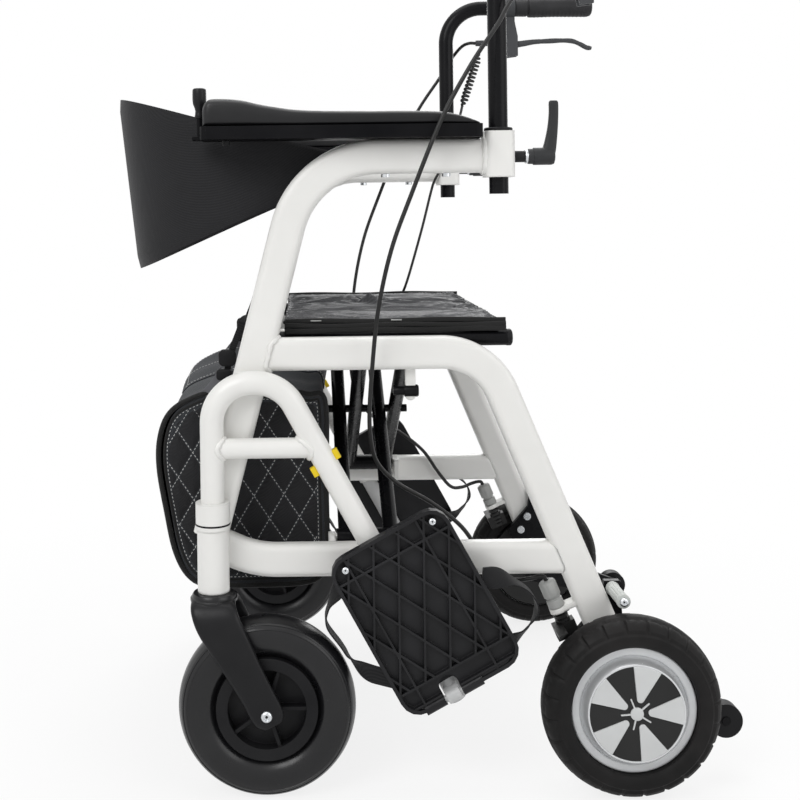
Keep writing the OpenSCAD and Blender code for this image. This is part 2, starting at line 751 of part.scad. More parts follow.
// Cross braces: two bars on a pivot tube below and a seat tube above. The left one starts at the left rail.
module brace(x0) {
    translate([0, -pivot_y, pivot_z]) {
        along_x(pivot_d, x0 - pivot_l / 2, x0 + pivot_l / 2);
        for (x = [-0.5, 0.5])
            translate([x0 + x * bar_pitch, 0, 0]) rotate([brace_angle - 90, 0, 0])
                cylinder(d = bar_d, h = brace_len);
    }
    translate([0, seat_y, seat_z]) along_x(seat_d, seat_front_x, seat_back_x);
}
module centre_bolt(d, grow) {
    translate([0, 0, (pivot_z + seat_z) / 2])
        along_x(d, left_brace_x - bar_pitch / 2 - grow, right_brace_x + bar_pitch / 2 + grow);
}
module rod_bore(x0) {
    translate([0, -pivot_y, pivot_z]) along_x(pivot_rod_d + 2 * running_fit, x0 - pivot_l, x0 + pivot_l);
}
module left_brace() {
    color(black) {
        difference() {
            brace(left_brace_x);
            rod_bore(left_brace_x);
        }
        centre_bolt(centre_bolt_d, 16);
    }
}
module right_brace() {
    color(black) mirror([0, 1, 0]) difference() {
        brace(right_brace_x);
        rod_bore(right_brace_x);
        centre_bolt(centre_bolt_d + 2 * running_fit, 30);
    }
}

// Crowned cushion with drawn-in sides and one sewn tuft in the middle
cushion_n = 24;
function pull(t) = 1 - 0.03 * (1 - t * t);
module seat_cushion() {
    n = cushion_n;
    z0 = seat_z + seat_d / 2 + gap;
    mid_x = cushion_front_x + cushion_l / 2;
    grid = [for (layer = [0, 1]) for (i = [0:n]) for (j = [0:n])
        let (u = 2 * i / n - 1, v = 2 * j / n - 1,
             swell = (1 - pow(u, 4)) * (1 - pow(v, 4)),
             tuft = 0.7 * exp(-20 * (u * u + 2 * v * v)))
        [mid_x + u * pull(v) * cushion_l / 2, v * pull(u) * cushion_y,
            layer == 0 ? z0 : z0 + cushion_edge + crown * swell * (1 - tuft)]];
    m = n + 1;
    top = m * m;
    faces = [for (i = [0:n - 1]) for (j = [0:n - 1])
        let (a = i * m + j, b = a + 1, c = a + m, d = c + 1)
        each [[a, b, d], [a, d, c], [a + top, d + top, b + top], [a + top, c + top, d + top]]];
    rim = concat([for (j = [0:n]) j], [for (i = [1:n]) i * m + n], [for (j = [n - 1:-1:0]) n * m + j],
        [for (i = [n - 1:-1:1]) i * m]);
    sides = [for (k = [0:len(rim) - 1])
        let (a = rim[k], b = rim[(k + 1) % len(rim)])
        each [[a, a + top, b], [b, a + top, b + top]]];
    color(black) polyhedron(grid, concat(faces, sides));
}

// Padded band that bows out in front of the seat and tapers to its two pivots
band_n = 40;
module backrest_band() {
    rows = [for (k = [0:band_n])
        let (a = 180 * k / band_n,
             f = pow(abs(sin(a)), 0.7),
             y = -sign(cos(a)) * pow(abs(cos(a)), 0.7),
             half = back_end_h / 2 + (back_h - back_end_h) / 2 * pow(f, back_taper))
        [f, y, back_z - back_drop * f, half]];
    points = [for (r = rows) for (q = [[1, -1], [1, 1], [-1, 1], [-1, -1]])
        [back_x - (back_reach + q[0] * back_t / 2 + q[1] * back_lean) * r[0],
            r[1] * (back_y + q[0] * back_t / 2), r[2] + q[1] * r[3]]];
    walls = [for (k = [0:band_n - 1]) for (j = [0:3])
        let (a = 4 * k + j, b = 4 * k + (j + 1) % 4)
        each [[a, b, a + 4], [b, b + 4, a + 4]]];
    last = 4 * band_n;
    ends = [[0, 2, 1], [0, 3, 2], [last, last + 1, last + 2], [last, last + 2, last + 3]];
    color(black) polyhedron(points, concat(walls, ends));
}

bag_y = 192;
bag_wall = 4;
bag_outline = [[-99, 240], [-99, 428], [-150, 440], [-225, 442], [-262, 432], [-286, 418], [-297, 386],
    [-298, 350], [-290, 300], [-280, 252], [-262, 220], [-240, 210], [-128, 212], [-108, 222]];
bag_middle = [-195, 325];
bag_tab = 28;
bag_tab_z = 418;
module storage_bag() {
    tab_y = frame_y - tube_w / 2 - gap;
    color(black) difference() {
        union() {
            plate_y(-bag_y, bag_y) polygon(bag_outline);
            translate([front_leg_x(bag_tab_z) - bag_tab / 2, -tab_y, bag_tab_z - bag_tab / 2])
                cube([bag_tab, 2 * tab_y, bag_tab]);
        }
        plate_y(bag_wall - bag_y, bag_y - bag_wall)
            polygon([for (p = bag_outline) p - unit(p - bag_middle) * 1.4 * bag_wall]);
    }
}

// Curly lead from the right brake bracket, with its straight tail down to the seat rail
cord_d = 4;
curl_d = 13;
curls = 14;
cord_top = [157, 233, 905];
curl_from = [154, 229, 893];
curl_to = [126, 224, 812];
cord_tail = [[124, 222, 804], [118, 217, 786], [107, 214.5, 756], [95, 214.5, 724], [82, 216, 700],
    [76, 219, 682], [62, 219.2, 628], [44, 219.2, 566], [35, 220, 538], [30, 227, 524], [29, 233, 517],
    [29, 234, 510.2]];
curl_axis = unit(curl_to - curl_from);
curl_u = unit(cross(curl_axis, [0, 1, 0]));
curl_v = cross(curl_axis, curl_u);
curl_path = [for (k = [0:8 * curls])
    let (t = k / (8 * curls), a = 360 * k / 8, r = min(1, 8 * min(t, 1 - t)) * (curl_d - cord_d) / 2)
    curl_from + (curl_to - curl_from) * t + r * (curl_u * cos(a) + curl_v * sin(a))];
least_curl_gap = min([for (i = [0:8 * curls]) for (j = [i + 8:1:8 * curls])
    norm(curl_path[i] - curl_path[j])]) - cord_d;
module control_cord() {
    path = concat([cord_top, (cord_top + curl_from) / 2], curl_path, smooth(cord_tail, 2));
    color(black) swept(path, ring(cord_d, 6), [0.1, 0.95, 0.3]);
}
echo(least_curl_gap = least_curl_gap);

module side_node(s, n) {
    if (n == "side_bow") side_bow();
    if (n == "seat_rail") seat_rail();
    if (n == "lower_rail") lower_rail(s);
    if (n == "caster_arch") caster_arch();
    if (n == "armrest_base") armrest_base();
    if (n == "armrest_pad") armrest_pad();
    if (n == "handle_post") handle_post();
    if (n == "handle_grip") handle_grip();
    if (n == "brake_bracket") brake_bracket();
    if (n == "brake_lever") brake_lever();
    if (n == "clamp_lever") clamp_lever();
    if (n == "caster_fork") caster_fork();
    if (n == "caster_hub") caster_hub();
    if (n == "caster_tyre") caster_tyre();
    if (n == "hub_motor") hub_motor();
    if (n == "rear_rim") rear_rim();
    if (n == "rear_tyre") rear_tyre();
    if (n == "axle_bracket") axle_bracket();
    if (n == "step_peg") step_peg();
    if (n == "anti_tip_roller") anti_tip_roller();
    if (n == "brake_barrel") brake_barrel();
    if (n == "brake_plunger") brake_plunger();
    if (n == "foot_hanger") foot_hanger();
    if (n == "foot_plate") foot_plate();
    if (n == "heel_strap") heel_strap();
    if (n == "brake_cable") brake_cable();
    if (n == "fasteners") fasteners();
}
for (s = SIDES) for (n = SIDE_NODES)
    on_side(s) side_node(s, n);
left_brace();
right_brace();
seat_cushion();
backrest_band();
storage_bag();
control_cord();
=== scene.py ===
"""Looks of the folding electric rollator chair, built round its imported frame.

Sizes in the tables are millimetres in the frame's own axes. A place on one side of the chair is
(x, out, z), where out is the distance from the middle of the chair towards that side.
"""
from math import copysign, cos, exp, hypot, pi, radians, sin, sqrt, tan, tau

import bmesh
import bpy
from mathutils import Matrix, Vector

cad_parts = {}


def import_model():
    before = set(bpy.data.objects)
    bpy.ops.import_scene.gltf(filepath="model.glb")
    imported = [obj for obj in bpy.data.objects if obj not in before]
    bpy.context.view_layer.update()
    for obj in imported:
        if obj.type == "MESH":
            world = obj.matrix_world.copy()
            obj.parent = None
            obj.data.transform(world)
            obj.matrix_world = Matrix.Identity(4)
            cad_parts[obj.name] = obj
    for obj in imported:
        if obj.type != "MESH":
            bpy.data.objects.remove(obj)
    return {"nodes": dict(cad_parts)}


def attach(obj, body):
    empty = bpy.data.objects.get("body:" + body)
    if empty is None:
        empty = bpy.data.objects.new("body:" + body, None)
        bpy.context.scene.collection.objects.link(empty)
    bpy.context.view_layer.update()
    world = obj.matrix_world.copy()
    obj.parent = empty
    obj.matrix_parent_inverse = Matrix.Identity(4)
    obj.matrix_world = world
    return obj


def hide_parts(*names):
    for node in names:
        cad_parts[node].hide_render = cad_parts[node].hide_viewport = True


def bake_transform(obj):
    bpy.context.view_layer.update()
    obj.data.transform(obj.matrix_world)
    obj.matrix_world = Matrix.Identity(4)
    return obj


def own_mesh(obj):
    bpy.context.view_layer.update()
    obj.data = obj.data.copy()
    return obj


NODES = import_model()["nodes"]
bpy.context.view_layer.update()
scene = bpy.context.scene
MM = 0.001
SIDES = {"left": -1, "right": 1}
X_AXIS, Y_AXIS, Z_AXIS = (1, 0, 0), (0, 1, 0), (0, 0, 1)
MERGE = 1e-6
ON_AXIS = 0.1


# Numbers and curves
def place(sign, p):
    return Vector((p[0], sign * p[1], p[2])) * MM


def placed(sign, points):
    return [place(sign, p) for p in points]


def share(x):
    """x held between 0 and 1."""
    return max(0, min(1, x))


def signed_power(x, power):
    return copysign(abs(x) ** power, x)


def spline(points, steps, closed=False):
    """Smooth curve through chosen points, with the same steps between each pair."""
    pts = [Vector(p) for p in points]
    pts = pts[-1:] + pts + pts[:2] if closed else pts[:1] + pts + pts[-1:]
    out = []
    for a, b, c, d in zip(pts, pts[1:], pts[2:], pts[3:]):
        for k in range(steps):
            t = k / steps
            out.append(0.5 * (2 * b + (c - a) * t + (2 * a - 5 * b + 4 * c - d) * t * t
                              + (3 * b - a - 3 * c + d) * t ** 3))
    return out if closed else out + pts[-1:]


def value_at(table, x, smooth=True):
    """Value at x from (x, value) pairs in rising order, eased between them or on straight lines."""
    if x <= table[0][0]:
        return table[0][1]
    for (x0, v0), (x1, v1) in zip(table, table[1:]):
        if x <= x1:
            t = (x - x0) / (x1 - x0)
            if smooth:
                t = t * t * (3 - 2 * t)
            return v0 + (v1 - v0) * t
    return table[-1][1]


def oval(width, height, n=20, power=2.0):
    """Superellipse section: power 2 is an ellipse and larger is squarer."""
    angles = [tau * j / n for j in range(n)]
    return [(signed_power(cos(a), 2 / power) * width / 2,
             signed_power(sin(a), 2 / power) * height / 2) for a in angles]


def oblong(length, width, radius, n=6):
    """Rectangle with round corners, n steps to a corner."""
    out = []
    for q, (sx, sy) in enumerate(((1, 1), (-1, 1), (-1, -1), (1, -1))):
        for i in range(n + 1):
            a = radians(90 * q + 90 * i / n)
            out.append((sx * (length / 2 - radius) + radius * cos(a),
                        sy * (width / 2 - radius) + radius * sin(a)))
    return out


# Meshes and pieces
def mesh_object(verts, faces, material, sharp=35):
    mesh = bpy.data.meshes.new("part")
    mesh.from_pydata([tuple(v) for v in verts], [], faces)
    bm = bmesh.new()
    bm.from_mesh(mesh)
    bmesh.ops.remove_doubles(bm, verts=bm.verts, dist=MERGE)
    bmesh.ops.recalc_face_normals(bm, faces=bm.faces)
    bm.to_mesh(mesh)
    bm.free()
    mesh.materials.append(material)
    mesh.shade_smooth()
    mesh.set_sharp_from_angle(angle=radians(sharp))
    obj = bpy.data.objects.new("part", mesh)
    scene.collection.objects.link(obj)
    return obj


def loft_faces(n_rings, n, closed=False):
    faces = []
    for i in range(n_rings if closed else n_rings - 1):
        a = i * n
        b = (i + 1) % n_rings * n
        for j in range(n):
            k = (j + 1) % n
            faces.append((a + j, a + k, b + k, b + j))
    if not closed:
        faces.append(tuple(range(n - 1, -1, -1)))
        faces.append(tuple((n_rings - 1) * n + j for j in range(n)))
    return faces


def loft(rings, material, closed=False, sharp=35):
    verts = [v for ring in rings for v in ring]
    return mesh_object(verts, loft_faces(len(rings), len(rings[0]), closed), material, sharp)


def lathe(profile, centre, axis, material, steps=96, sharp=35, warp=None):
    """Closed profile of (radius, along) turned round an axis through centre, in millimetres."""
    axis = Vector(axis).normalized()
    u = axis.orthogonal().normalized()
    v = axis.cross(u)
    rings = []
    for i in range(steps):
        a = tau * i / steps
        spoke = u * cos(a) + v * sin(a)
        ring = [warp(a, r, y) if warp else (r, y) for r, y in profile]
        rings.append([(Vector(centre) + axis * y + spoke * r) * MM for r, y in ring])
    return loft(rings, material, True, sharp)


def swept(path, section, side, material, closed=False, sharp=35):
    """Section swept along a path in metres. side is the direction that the section's width keeps to."""
    n = len(path)
    rings = []
    for i, p in enumerate(path):
        before = i - 1 if closed else max(i - 1, 0)
        after = (i + 1) % n if closed else min(i + 1, n - 1)
        t = (path[after] - path[before]).normalized()
        u = Vector(side)
        u = (u - t * u.dot(t)).normalized()
        v = t.cross(u)
        shape = section(i / (n - 1)) if callable(section) else section
        rings.append([p + (u * q[0] + v * q[1]) * MM for q in shape])
    return loft(rings, material, closed, sharp)


def slab(sign, centre, length, width, radius, thick, bevel, material):
    """Rounded plate that stands along the chair's side: its length is up, its width fore and aft."""
    x, out, z = centre
    soft = 0.3 * bevel
    rims = ((bevel, 0), (soft, soft), (0, bevel), (0, thick - bevel), (soft, thick - soft), (bevel, thick))
    rings = []
    for inset, up in rims:
        shape = oblong(length - 2 * inset, width - 2 * inset, max(radius - inset, 0.5))
        rings.append([place(sign, (x + across, out + up, z + along)) for along, across in shape])
    return loft(rings, material)


def joined(name, parts):
    """One object from several, with all their materials."""
    if len(parts) > 1:
        bpy.ops.object.select_all(action="DESELECT")
        for part in parts:
            part.select_set(True)
        bpy.context.view_layer.objects.active = parts[0]
        bpy.ops.object.join()
    parts[0].name = name
    return parts[0]


def piece(name, parts, body):
    """Parts as one piece that rides on a body, in place of the solid of its name if there is one."""
    obj = joined(name, parts)
    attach(obj, body)
    if name in NODES:
        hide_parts(name)
    return obj


# Materials. Colours are in thousandths, bump depths and edge radii in millimetres.
WHITE = (1, 1, 1, 1)
DRIFT_SCALE, PATCH_SCALE = 14, 60
CLOTH_DRIFT, CLOTH_FOLDS, WEAVE_SHARE = 9, 26, 0.22
WEAVE_TURN = (0.62, 0.48, 0.37)
RIB_TURN = (0.6, 0.7, 0.4)
LINES_PER_M = 260


def feed(target, inputs):
    """Fills a node's inputs, each from another node's output or with a plain value."""
    for key, value in inputs.items():
        if isinstance(value, bpy.types.NodeSocket):
            target.id_data.links.new(value, target.inputs[key])
        else:
            target.inputs[key].default_value = value


def node(tree, kind, output, inputs, **settings):
    new = tree.nodes.new("ShaderNode" + kind)
    for key, value in settings.items():
        setattr(new, key, value)
    feed(new, inputs)
    return new.outputs[output]


def new_material(name):
    material = bpy.data.materials.new(name)
    material.use_nodes = True
    nodes = material.node_tree.nodes
    return material, nodes["Principled BSDF"], nodes.new("ShaderNodeTexCoord").outputs["Object"]


def noise(coords, scale, detail=4, rough=0.55):
    inputs = {"Vector": coords, "Scale": scale, "Detail": detail, "Roughness": rough}
    return node(coords.id_data, "TexNoise", "Fac", inputs)


def wave(coords, scale, direction, distortion=0.0):
    inputs = {"Vector": coords, "Scale": scale, "Distortion": distortion}
    return node(coords.id_data, "TexWave", "Fac", inputs, bands_direction=direction)


def turned(coords, angles):
    return node(coords.id_data, "Mapping", "Vector", {"Vector": coords, "Rotation": angles})


def math_node(operation, a, b):
    return node(a.id_data, "Math", "Value", {0: a, 1: b}, operation=operation)


def bump(height, strength, depth, normal=None):
    inputs = {"Strength": strength, "Distance": depth * MM, "Height": height}
    if normal:
        inputs["Normal"] = normal
    return node(height.id_data, "Bump", "Normal", inputs)


def round_edges(coords, radius):
    return node(coords.id_data, "Bevel", "Normal", {"Radius": radius * MM}, samples=6)


def ramp(fac, *stops):
    """Values between two stops along a 0 to 1 input. A stop has a level, or a colour in thousandths."""
    new = fac.id_data.nodes.new("ShaderNodeValToRGB")
    for element, (at, value) in zip(new.color_ramp.elements, stops):
        element.position = at
        colour = [c / 1000 for c in value] if isinstance(value, tuple) else [value] * 3
        element.color = (*colour, 1)
    feed(new, {"Fac": fac})
    return new.outputs["Color"]


def grained(name, dark, light, rough, grain, depth, edge=0.0, metallic=0.0, coat=0.0, shine=0.3):
    """Base finish: slow colour drift, fine grain in the bump, and roughness that varies in patches."""
    material, shader, coords = new_material(name)
    normal = round_edges(coords, edge) if edge else None
    patches = noise(coords, PATCH_SCALE)
    feed(shader, {
        "Base Color": ramp(noise(coords, DRIFT_SCALE, 3), (0.3, dark), (0.7, light)),
        "Roughness": ramp(patches, (0.3, rough[0]), (0.75, rough[1])),
        "Normal": bump(noise(coords, grain, 3), 0.5, depth, normal),
        "Specular IOR Level": shine, "Metallic": metallic})
    if coat:
        feed(shader, {"Coat Weight": coat, "Coat Roughness": 0.18})
    return material


def cloth(name, dark, light, thread, depth, wrinkle=0.0, sheen=0.1, rough=0.8, shine=0.2):
    """Plain weave of crossing threads, thread millimetres apart, slanting to all three axes."""
    material, shader, coords = new_material(name)
    scale = pi / 20 / (thread * MM)
    slant = turned(coords, WEAVE_TURN)
    weave = math_node("ADD", wave(slant, scale, "X"), wave(slant, scale, "Y"))
    drift = noise(coords, CLOTH_DRIFT)
    shade = math_node("ADD", math_node("MULTIPLY", weave, WEAVE_SHARE), drift)
    normal = bump(weave, 0.6, depth)
    if wrinkle:
        normal = bump(noise(coords, CLOTH_FOLDS, 5, 0.6), 0.8, wrinkle, normal)
    feed(shader, {
        "Base Color": ramp(shade, (0.35, dark), (1.0, light)),
        "Roughness": ramp(drift, (0.3, rough - 0.12), (0.7, rough)), "Normal": normal,
        "Specular IOR Level": shine, "Sheen Weight": sheen, "Sheen Roughness": 0.45})
    return material


def webbing_finish():
    """Woven strap: diagonal twill ribs."""
    material, shader, coords = new_material("strap_webbing")
    ribs = wave(turned(coords, RIB_TURN), LINES_PER_M, "DIAGONAL")
    feed(shader, {
        "Base Color": ramp(ribs, (0.2, (6, 6, 7)), (0.9, (14, 14, 15))),
        "Normal": bump(ribs, 0.6, 0.2),
        "Roughness": 0.75, "Specular IOR Level": 0.2, "Sheen Weight": 0.1})
    return material


def steel_finish():
    """Turned steel with fine lathe lines and a few faint marks."""
    material, shader, coords = new_material("zinc_steel")
    marks = noise(coords, 35, 6)
    lines = wave(coords, LINES_PER_M, "Z", 6)
    feed(shader, {
        "Base Color": ramp(marks, (0.3, (594, 612, 630)), (0.7, (660, 680, 700))),
        "Roughness": ramp(marks, (0.3, 0.2), (0.8, 0.34)),
        "Normal": bump(lines, 0.12, 0.1, round_edges(coords, 0.6)), "Metallic": 1.0})
    return material


white_paint = grained("white_powder", (830, 825, 800), (870, 865, 840), (0.3, 0.42), 900, 0.06, edge=3.5,
    coat=0.2, shine=0.5)
black_paint = grained("black_powder", (4, 4, 5), (8, 8, 9), (0.22, 0.38), 900, 0.06, edge=1.2, coat=0.06,
    shine=0.08)
base_black = grained("base_black", (3, 3, 4), (8, 8, 9), (0.36, 0.5), 1500, 0.16, edge=1.2, shine=0.07)
plate_black = grained("plate_black", (10, 10, 11), (18, 18, 20), (0.34, 0.52), 1500, 0.18, edge=1.2,
    shine=0.2)
grey_paint = grained("grey_tube", (500, 510, 510), (600, 600, 600), (0.3, 0.45), 900, 0.06, edge=1)
moulded = grained("moulded_black", (6, 6, 7), (14, 14, 15), (0.38, 0.58), 1500, 0.18, edge=1.2, shine=0.16)
dark_plastic = grained("moulded_dark", (36, 38, 41), (58, 60, 64), (0.42, 0.6), 1500, 0.18, edge=1)
lever_black = grained("lever_black", (20, 21, 22), (32, 33, 35), (0.42, 0.6), 1500, 0.18, edge=1, shine=0.25)
# grey zinc also gives the pale colour of the seat's snaps, where it is a painted glint
zinc = grained("grey_zinc", (330, 340, 330), (450, 450, 440), (0.35, 0.55), 700, 0.1, edge=0.8)
pale_rubber = grained("pale_grey_rubber", (460, 480, 460), (580, 600, 580), (0.5, 0.65), 800, 0.1)
pad_skin = grained("foam_skin", (6, 6, 7), (11, 11, 12), (0.36, 0.48), 1300, 0.2)
grip_rubber = grained("grip_rubber", (12, 12, 13), (22, 22, 24), (0.5, 0.66), 1400, 0.2)
cable_skin = grained("cable_skin", (8, 8, 8), (16, 16, 16), (0.35, 0.5), 900, 0.08)
tyre_rubber = grained("tyre_rubber", (7, 7, 7), (15, 14, 14), (0.5, 0.7), 700, 0.3, edge=0.6, shine=0.14)
caster_rubber = grained("caster_rubber", (6, 6, 7), (11, 11, 12), (0.26, 0.36), 700, 0.1, shine=0.34)
fork_black = grained("fork_black", (6, 6, 7), (12, 12, 13), (0.3, 0.42), 1500, 0.12, edge=1.2, shine=0.2)
motor_black = grained("motor_black", (8, 8, 8), (14, 14, 14), (0.35, 0.5), 900, 0.1)
yellow_plastic = grained("yellow_plastic", (780, 550, 10), (860, 640, 20), (0.4, 0.55), 900, 0.1)
thread_white = grained("pale_thread", (550, 550, 540), (700, 700, 680), (0.7, 0.85), 2000, 0.2)
bright_alloy = grained("bright_alloy", (600, 610, 620), (700, 710, 720), (0.24, 0.28), 900, 0.02,
    metallic=0.55, shine=0.5)
lip_alloy = grained("satin_lip", (580, 590, 600), (660, 670, 680), (0.34, 0.46), 900, 0.06, edge=0.6,
    metallic=0.3)
alloy_face = grained("satin_alloy", (560, 570, 570), (640, 650, 650), (0.35, 0.5), 900, 0.06, edge=0.6,
    metallic=0.3)
steel = steel_finish()
band_cloth = cloth("band_cloth", (7, 7, 8), (21, 21, 23), 0.7, 0.12)
seat_cloth = cloth("seat_cloth", (18, 18, 20), (42, 43, 47), 0.6, 0.12, wrinkle=0.8, sheen=0.05, rough=0.55,
    shine=0.16)
gusset_cloth = cloth("gusset_cloth", (22, 24, 27), (44, 47, 52), 0.7, 0.2, sheen=0.05)
bag_cloth = cloth("bag_cloth", (9, 9, 10), (24, 24, 26), 0.7, 0.2)
piping_cloth = cloth("piping_cloth", (8, 8, 8), (20, 20, 20), 0.5, 0.1, sheen=0.15)
webbing = webbing_finish()
strap_grey = grained("grey_webbing", (100, 100, 110), (160, 160, 170), (0.6, 0.75), 1600, 0.3)

CAD_FINISH = {
    "side_bow": white_paint, "seat_rail": white_paint, "lower_rail": white_paint, "caster_arch": white_paint,
    "armrest_base": base_black, "handle_post": black_paint, "brake_bracket": dark_plastic,
    "caster_hub": moulded, "hub_motor": motor_black, "axle_bracket": black_paint,
    "anti_tip_roller": moulded, "brake_plunger": cable_skin, "foot_hanger": grey_paint,
    "foot_plate": plate_black, "fasteners": steel, "brace": black_paint,
}


def finish_cad_nodes():
    for name, obj in NODES.items():
        side, _, kind = name.partition("_")
        if side in SIDES and kind in CAD_FINISH:
            obj.data.materials.clear()
            obj.data.materials.append(CAD_FINISH[kind])


# Camera, floor and light
CAMERA_AT = (-126, -1592, 659)
CAMERA_ROLL = 0.013
CAMERA_LENS = 52.97
CAMERA_SHIFT = (0.125, -0.24)
FLOOR_HALF = 4200
FLOOR_TONE, FLOOR_ROUGH, FLOOR_GLOW = 0.9, 0.9, 0.82
SHADOW_REACH = (350, 1100)
SKY_LIGHT = 0.28
LAMPS = (
    # name, place, width in metres, watts, aim
    ("key", (-1700, -2300, 2500), 2.0, 54, (0, 0, 450)),
    ("fill", (2100, -1700, 1500), 2.2, 20, (0, 0, 450)),
    ("top", (0, 300, 2900), 2.4, 32, (0, 0, 400)),
    ("back", (600, 2300, 1700), 1.8, 26, (0, 0, 500)),
)


def make_camera():
    data = bpy.data.cameras.new("photo_camera")
    data.lens = CAMERA_LENS
    data.shift_x, data.shift_y = CAMERA_SHIFT
    obj = bpy.data.objects.new("photo_camera", data)
    obj.location = Vector(CAMERA_AT) * MM
    obj.rotation_euler = (pi / 2, CAMERA_ROLL, 0)
    scene.collection.objects.link(obj)
    scene.camera = obj


def seen_directly(tree):
    """1 for rays from the camera, off mirrors and through glass."""
    path = tree.nodes.new("ShaderNodeLightPath").outputs
    seen = math_node("MAXIMUM", path["Is Camera Ray"], path["Is Glossy Ray"])
    return math_node("MAXIMUM", seen, path["Is Transmission Ray"])


def stage_finish():
    """Near-white to the camera and to mirrors, with a share of real shading left for the shadow."""
    material, shader, coords = new_material("studio_floor")
    feed(shader, {"Base Color": (FLOOR_TONE, FLOOR_TONE, FLOOR_TONE, 1), "Roughness": FLOOR_ROUGH})
    tree = coords.id_data
    glow = node(tree, "Emission", "Emission", {"Color": WHITE})
    away = node(tree, "VectorMath", "Value", {0: coords}, operation="LENGTH")
    near, far = SHADOW_REACH
    reach = {"Value": away, "From Min": near * MM, "From Max": far * MM, "To Min": FLOOR_GLOW}
    part = math_node("MULTIPLY", seen_directly(tree), node(tree, "MapRange", "Result", reach))
    mix = node(tree, "MixShader", "Shader", {"Fac": part, 1: shader.outputs["BSDF"], 2: glow})
    feed(tree.nodes["Material Output"], {"Surface": mix})
    return material


def make_stage():
    half = FLOOR_HALF * MM
    verts = [(-half, -half, 0), (half, -half, 0), (half, half, 0), (-half, half, 0)]
    joined("floor", [mesh_object(verts, [(0, 1, 2, 3)], stage_finish())])
    world = bpy.data.worlds.new("studio")
    scene.world = world
    world.use_nodes = True
    tree = world.node_tree
    direct = math_node("MULTIPLY", seen_directly(tree), 1 - SKY_LIGHT)
    strength = math_node("ADD", direct, SKY_LIGHT)
    feed(tree.nodes["Background"], {"Color": WHITE, "Strength": strength})


def make_lamps():
    for name, at, size, watts, target in LAMPS:
        data = bpy.data.lights.new(name, "AREA")
        data.shape = "DISK"
        data.size = size
        data.energy = watts
        obj = bpy.data.objects.new(name, data)
        obj.location = Vector(at) * MM
        obj.rotation_euler = (Vector(target) - Vector(at)).to_track_quat("-Z", "Y").to_euler()
        scene.collection.objects.link(obj)


# Cables and cords, on the routes of their solids
CABLE_D = 5
CABLE_LEAN = (0.6, 0, 0.8)
CABLE_ROUTE = (
    (149.4, 235, 911), (139, 235, 911), (128, 246, 906), (112, 265, 886), (98, 275, 862), (67, 280, 817),
    (33, 281, 756), (-2, 281, 672), (-25, 279, 610), (-40, 274, 543), (-47, 264, 476), (-50, 254, 425),
    (-48, 240, 392), (-40, 225, 362), (-16, 217, 336), (24, 216, 312), (58, 216, 284), (80, 216, 252),
    (100, 219, 228), (118, 227, 224.5), (133, 234, 228), (142, 235, 230.4), (149, 235, 230.6),
    (151.6, 235, 226.6))
CORD_D = 4
CORD_LEAN = (0.1, 0.95, 0.3)
CURL_D, CURLS, CURL_STEPS, CURL_ENDS = 13, 14, 16, 8
CORD_TOP = (157, 233, 905)
CURL_FROM, CURL_TO = (154, 229, 893), (126, 224, 812)
CORD_TAIL = (
    (124, 222, 804), (118, 217, 786), (107, 214.5, 756), (95, 214.5, 724), (82, 216, 700), (76, 219, 682),
    (62, 219.2, 628), (44, 219.2, 566), (35, 220, 538), (30, 227, 524), (29, 233, 517), (29, 234, 510.2))


def cord(name, path, section, lean, side):
    """Cord swept along its route, along the handle at its top and the frame below, in place of its solid."""
    obj = joined(name, [swept(path, section, lean, cable_skin)])
    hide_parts(name)
    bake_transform(obj)


def brake_cable(side, sign):
    path = spline(placed(sign, CABLE_ROUTE), 8)
    section = oval(CABLE_D, CABLE_D, 12)
    cord(f"{side}_brake_cable", path, section, CABLE_LEAN, side)


def control_cord():
    start = Vector(CURL_FROM)
    run = Vector(CURL_TO) - start
    axis = run.normalized()
    u = axis.cross(Vector(Y_AXIS)).normalized()
    v = axis.cross(u)
    path = [Vector(CORD_TOP), (Vector(CORD_TOP) + start) / 2]
    total = CURLS * CURL_STEPS
    for k in range(total + 1):
        t = k / total
        a = tau * k / CURL_STEPS
        r = min(1, CURL_ENDS * min(t, 1 - t)) * (CURL_D - CORD_D) / 2
        path.append(start + run * t + (u * cos(a) + v * sin(a)) * r)
    path = [p * MM for p in path + spline(CORD_TAIL, 6)]
    cord("control_cord", path, oval(CORD_D, CORD_D, 10), CORD_LEAN, "right")


# Arm pads
PAD_TOP = ((-235, 22), (-231, 29), (-222, 32), (-193, 30.5), (-168, 25), (-125, 18.5), (-60, 16.5), (0, 16),
    (36, 14.5), (58, 10), (72, 5), (78.5, 2.5))
PAD_BASE_Z, PAD_OUT, PAD_HALF, PAD_PLAN_R = 752, 247, 24, 9
PAD_RINGS = 90
PAD_CROWN, PAD_LIP, LIP_AT, LIP_WIDE = 1.2, 0.6, 0.55, 0.12


def armrest_pad(side, sign):
    """Moulded foam pad: high at the front, dipping to a level arm and falling away at the back."""
    first, last = PAD_TOP[0][0], PAD_TOP[-1][0]
    heights = spline(PAD_TOP, 8)
    section = oval(2, 2, 32, 5)
    rings = []
    for i in range(PAD_RINGS + 1):
        x = first + (last - first) * (0.5 - 0.5 * cos(pi * i / PAD_RINGS))
        short = max(0, PAD_PLAN_R - min(x - first, last - x))
        half = PAD_HALF - PAD_LIP - PAD_PLAN_R + sqrt(PAD_PLAN_R ** 2 - short ** 2)
        tall = value_at(heights, x, smooth=False) - PAD_CROWN
        ring = []
        for y, z in section:
            lip = PAD_LIP * exp(-((z - LIP_AT) / LIP_WIDE) ** 2)
            crown = PAD_CROWN * (1 - y * y) if z > 0 else 0
            ring.append(place(sign, (x, PAD_OUT + y * (half + lip), PAD_BASE_Z + (z + 1) / 2 * tall + crown)))
        rings.append(ring)
    obj = piece(f"{side}_armrest_pad", [loft(rings, pad_skin, sharp=60)], f"{side}_frame")


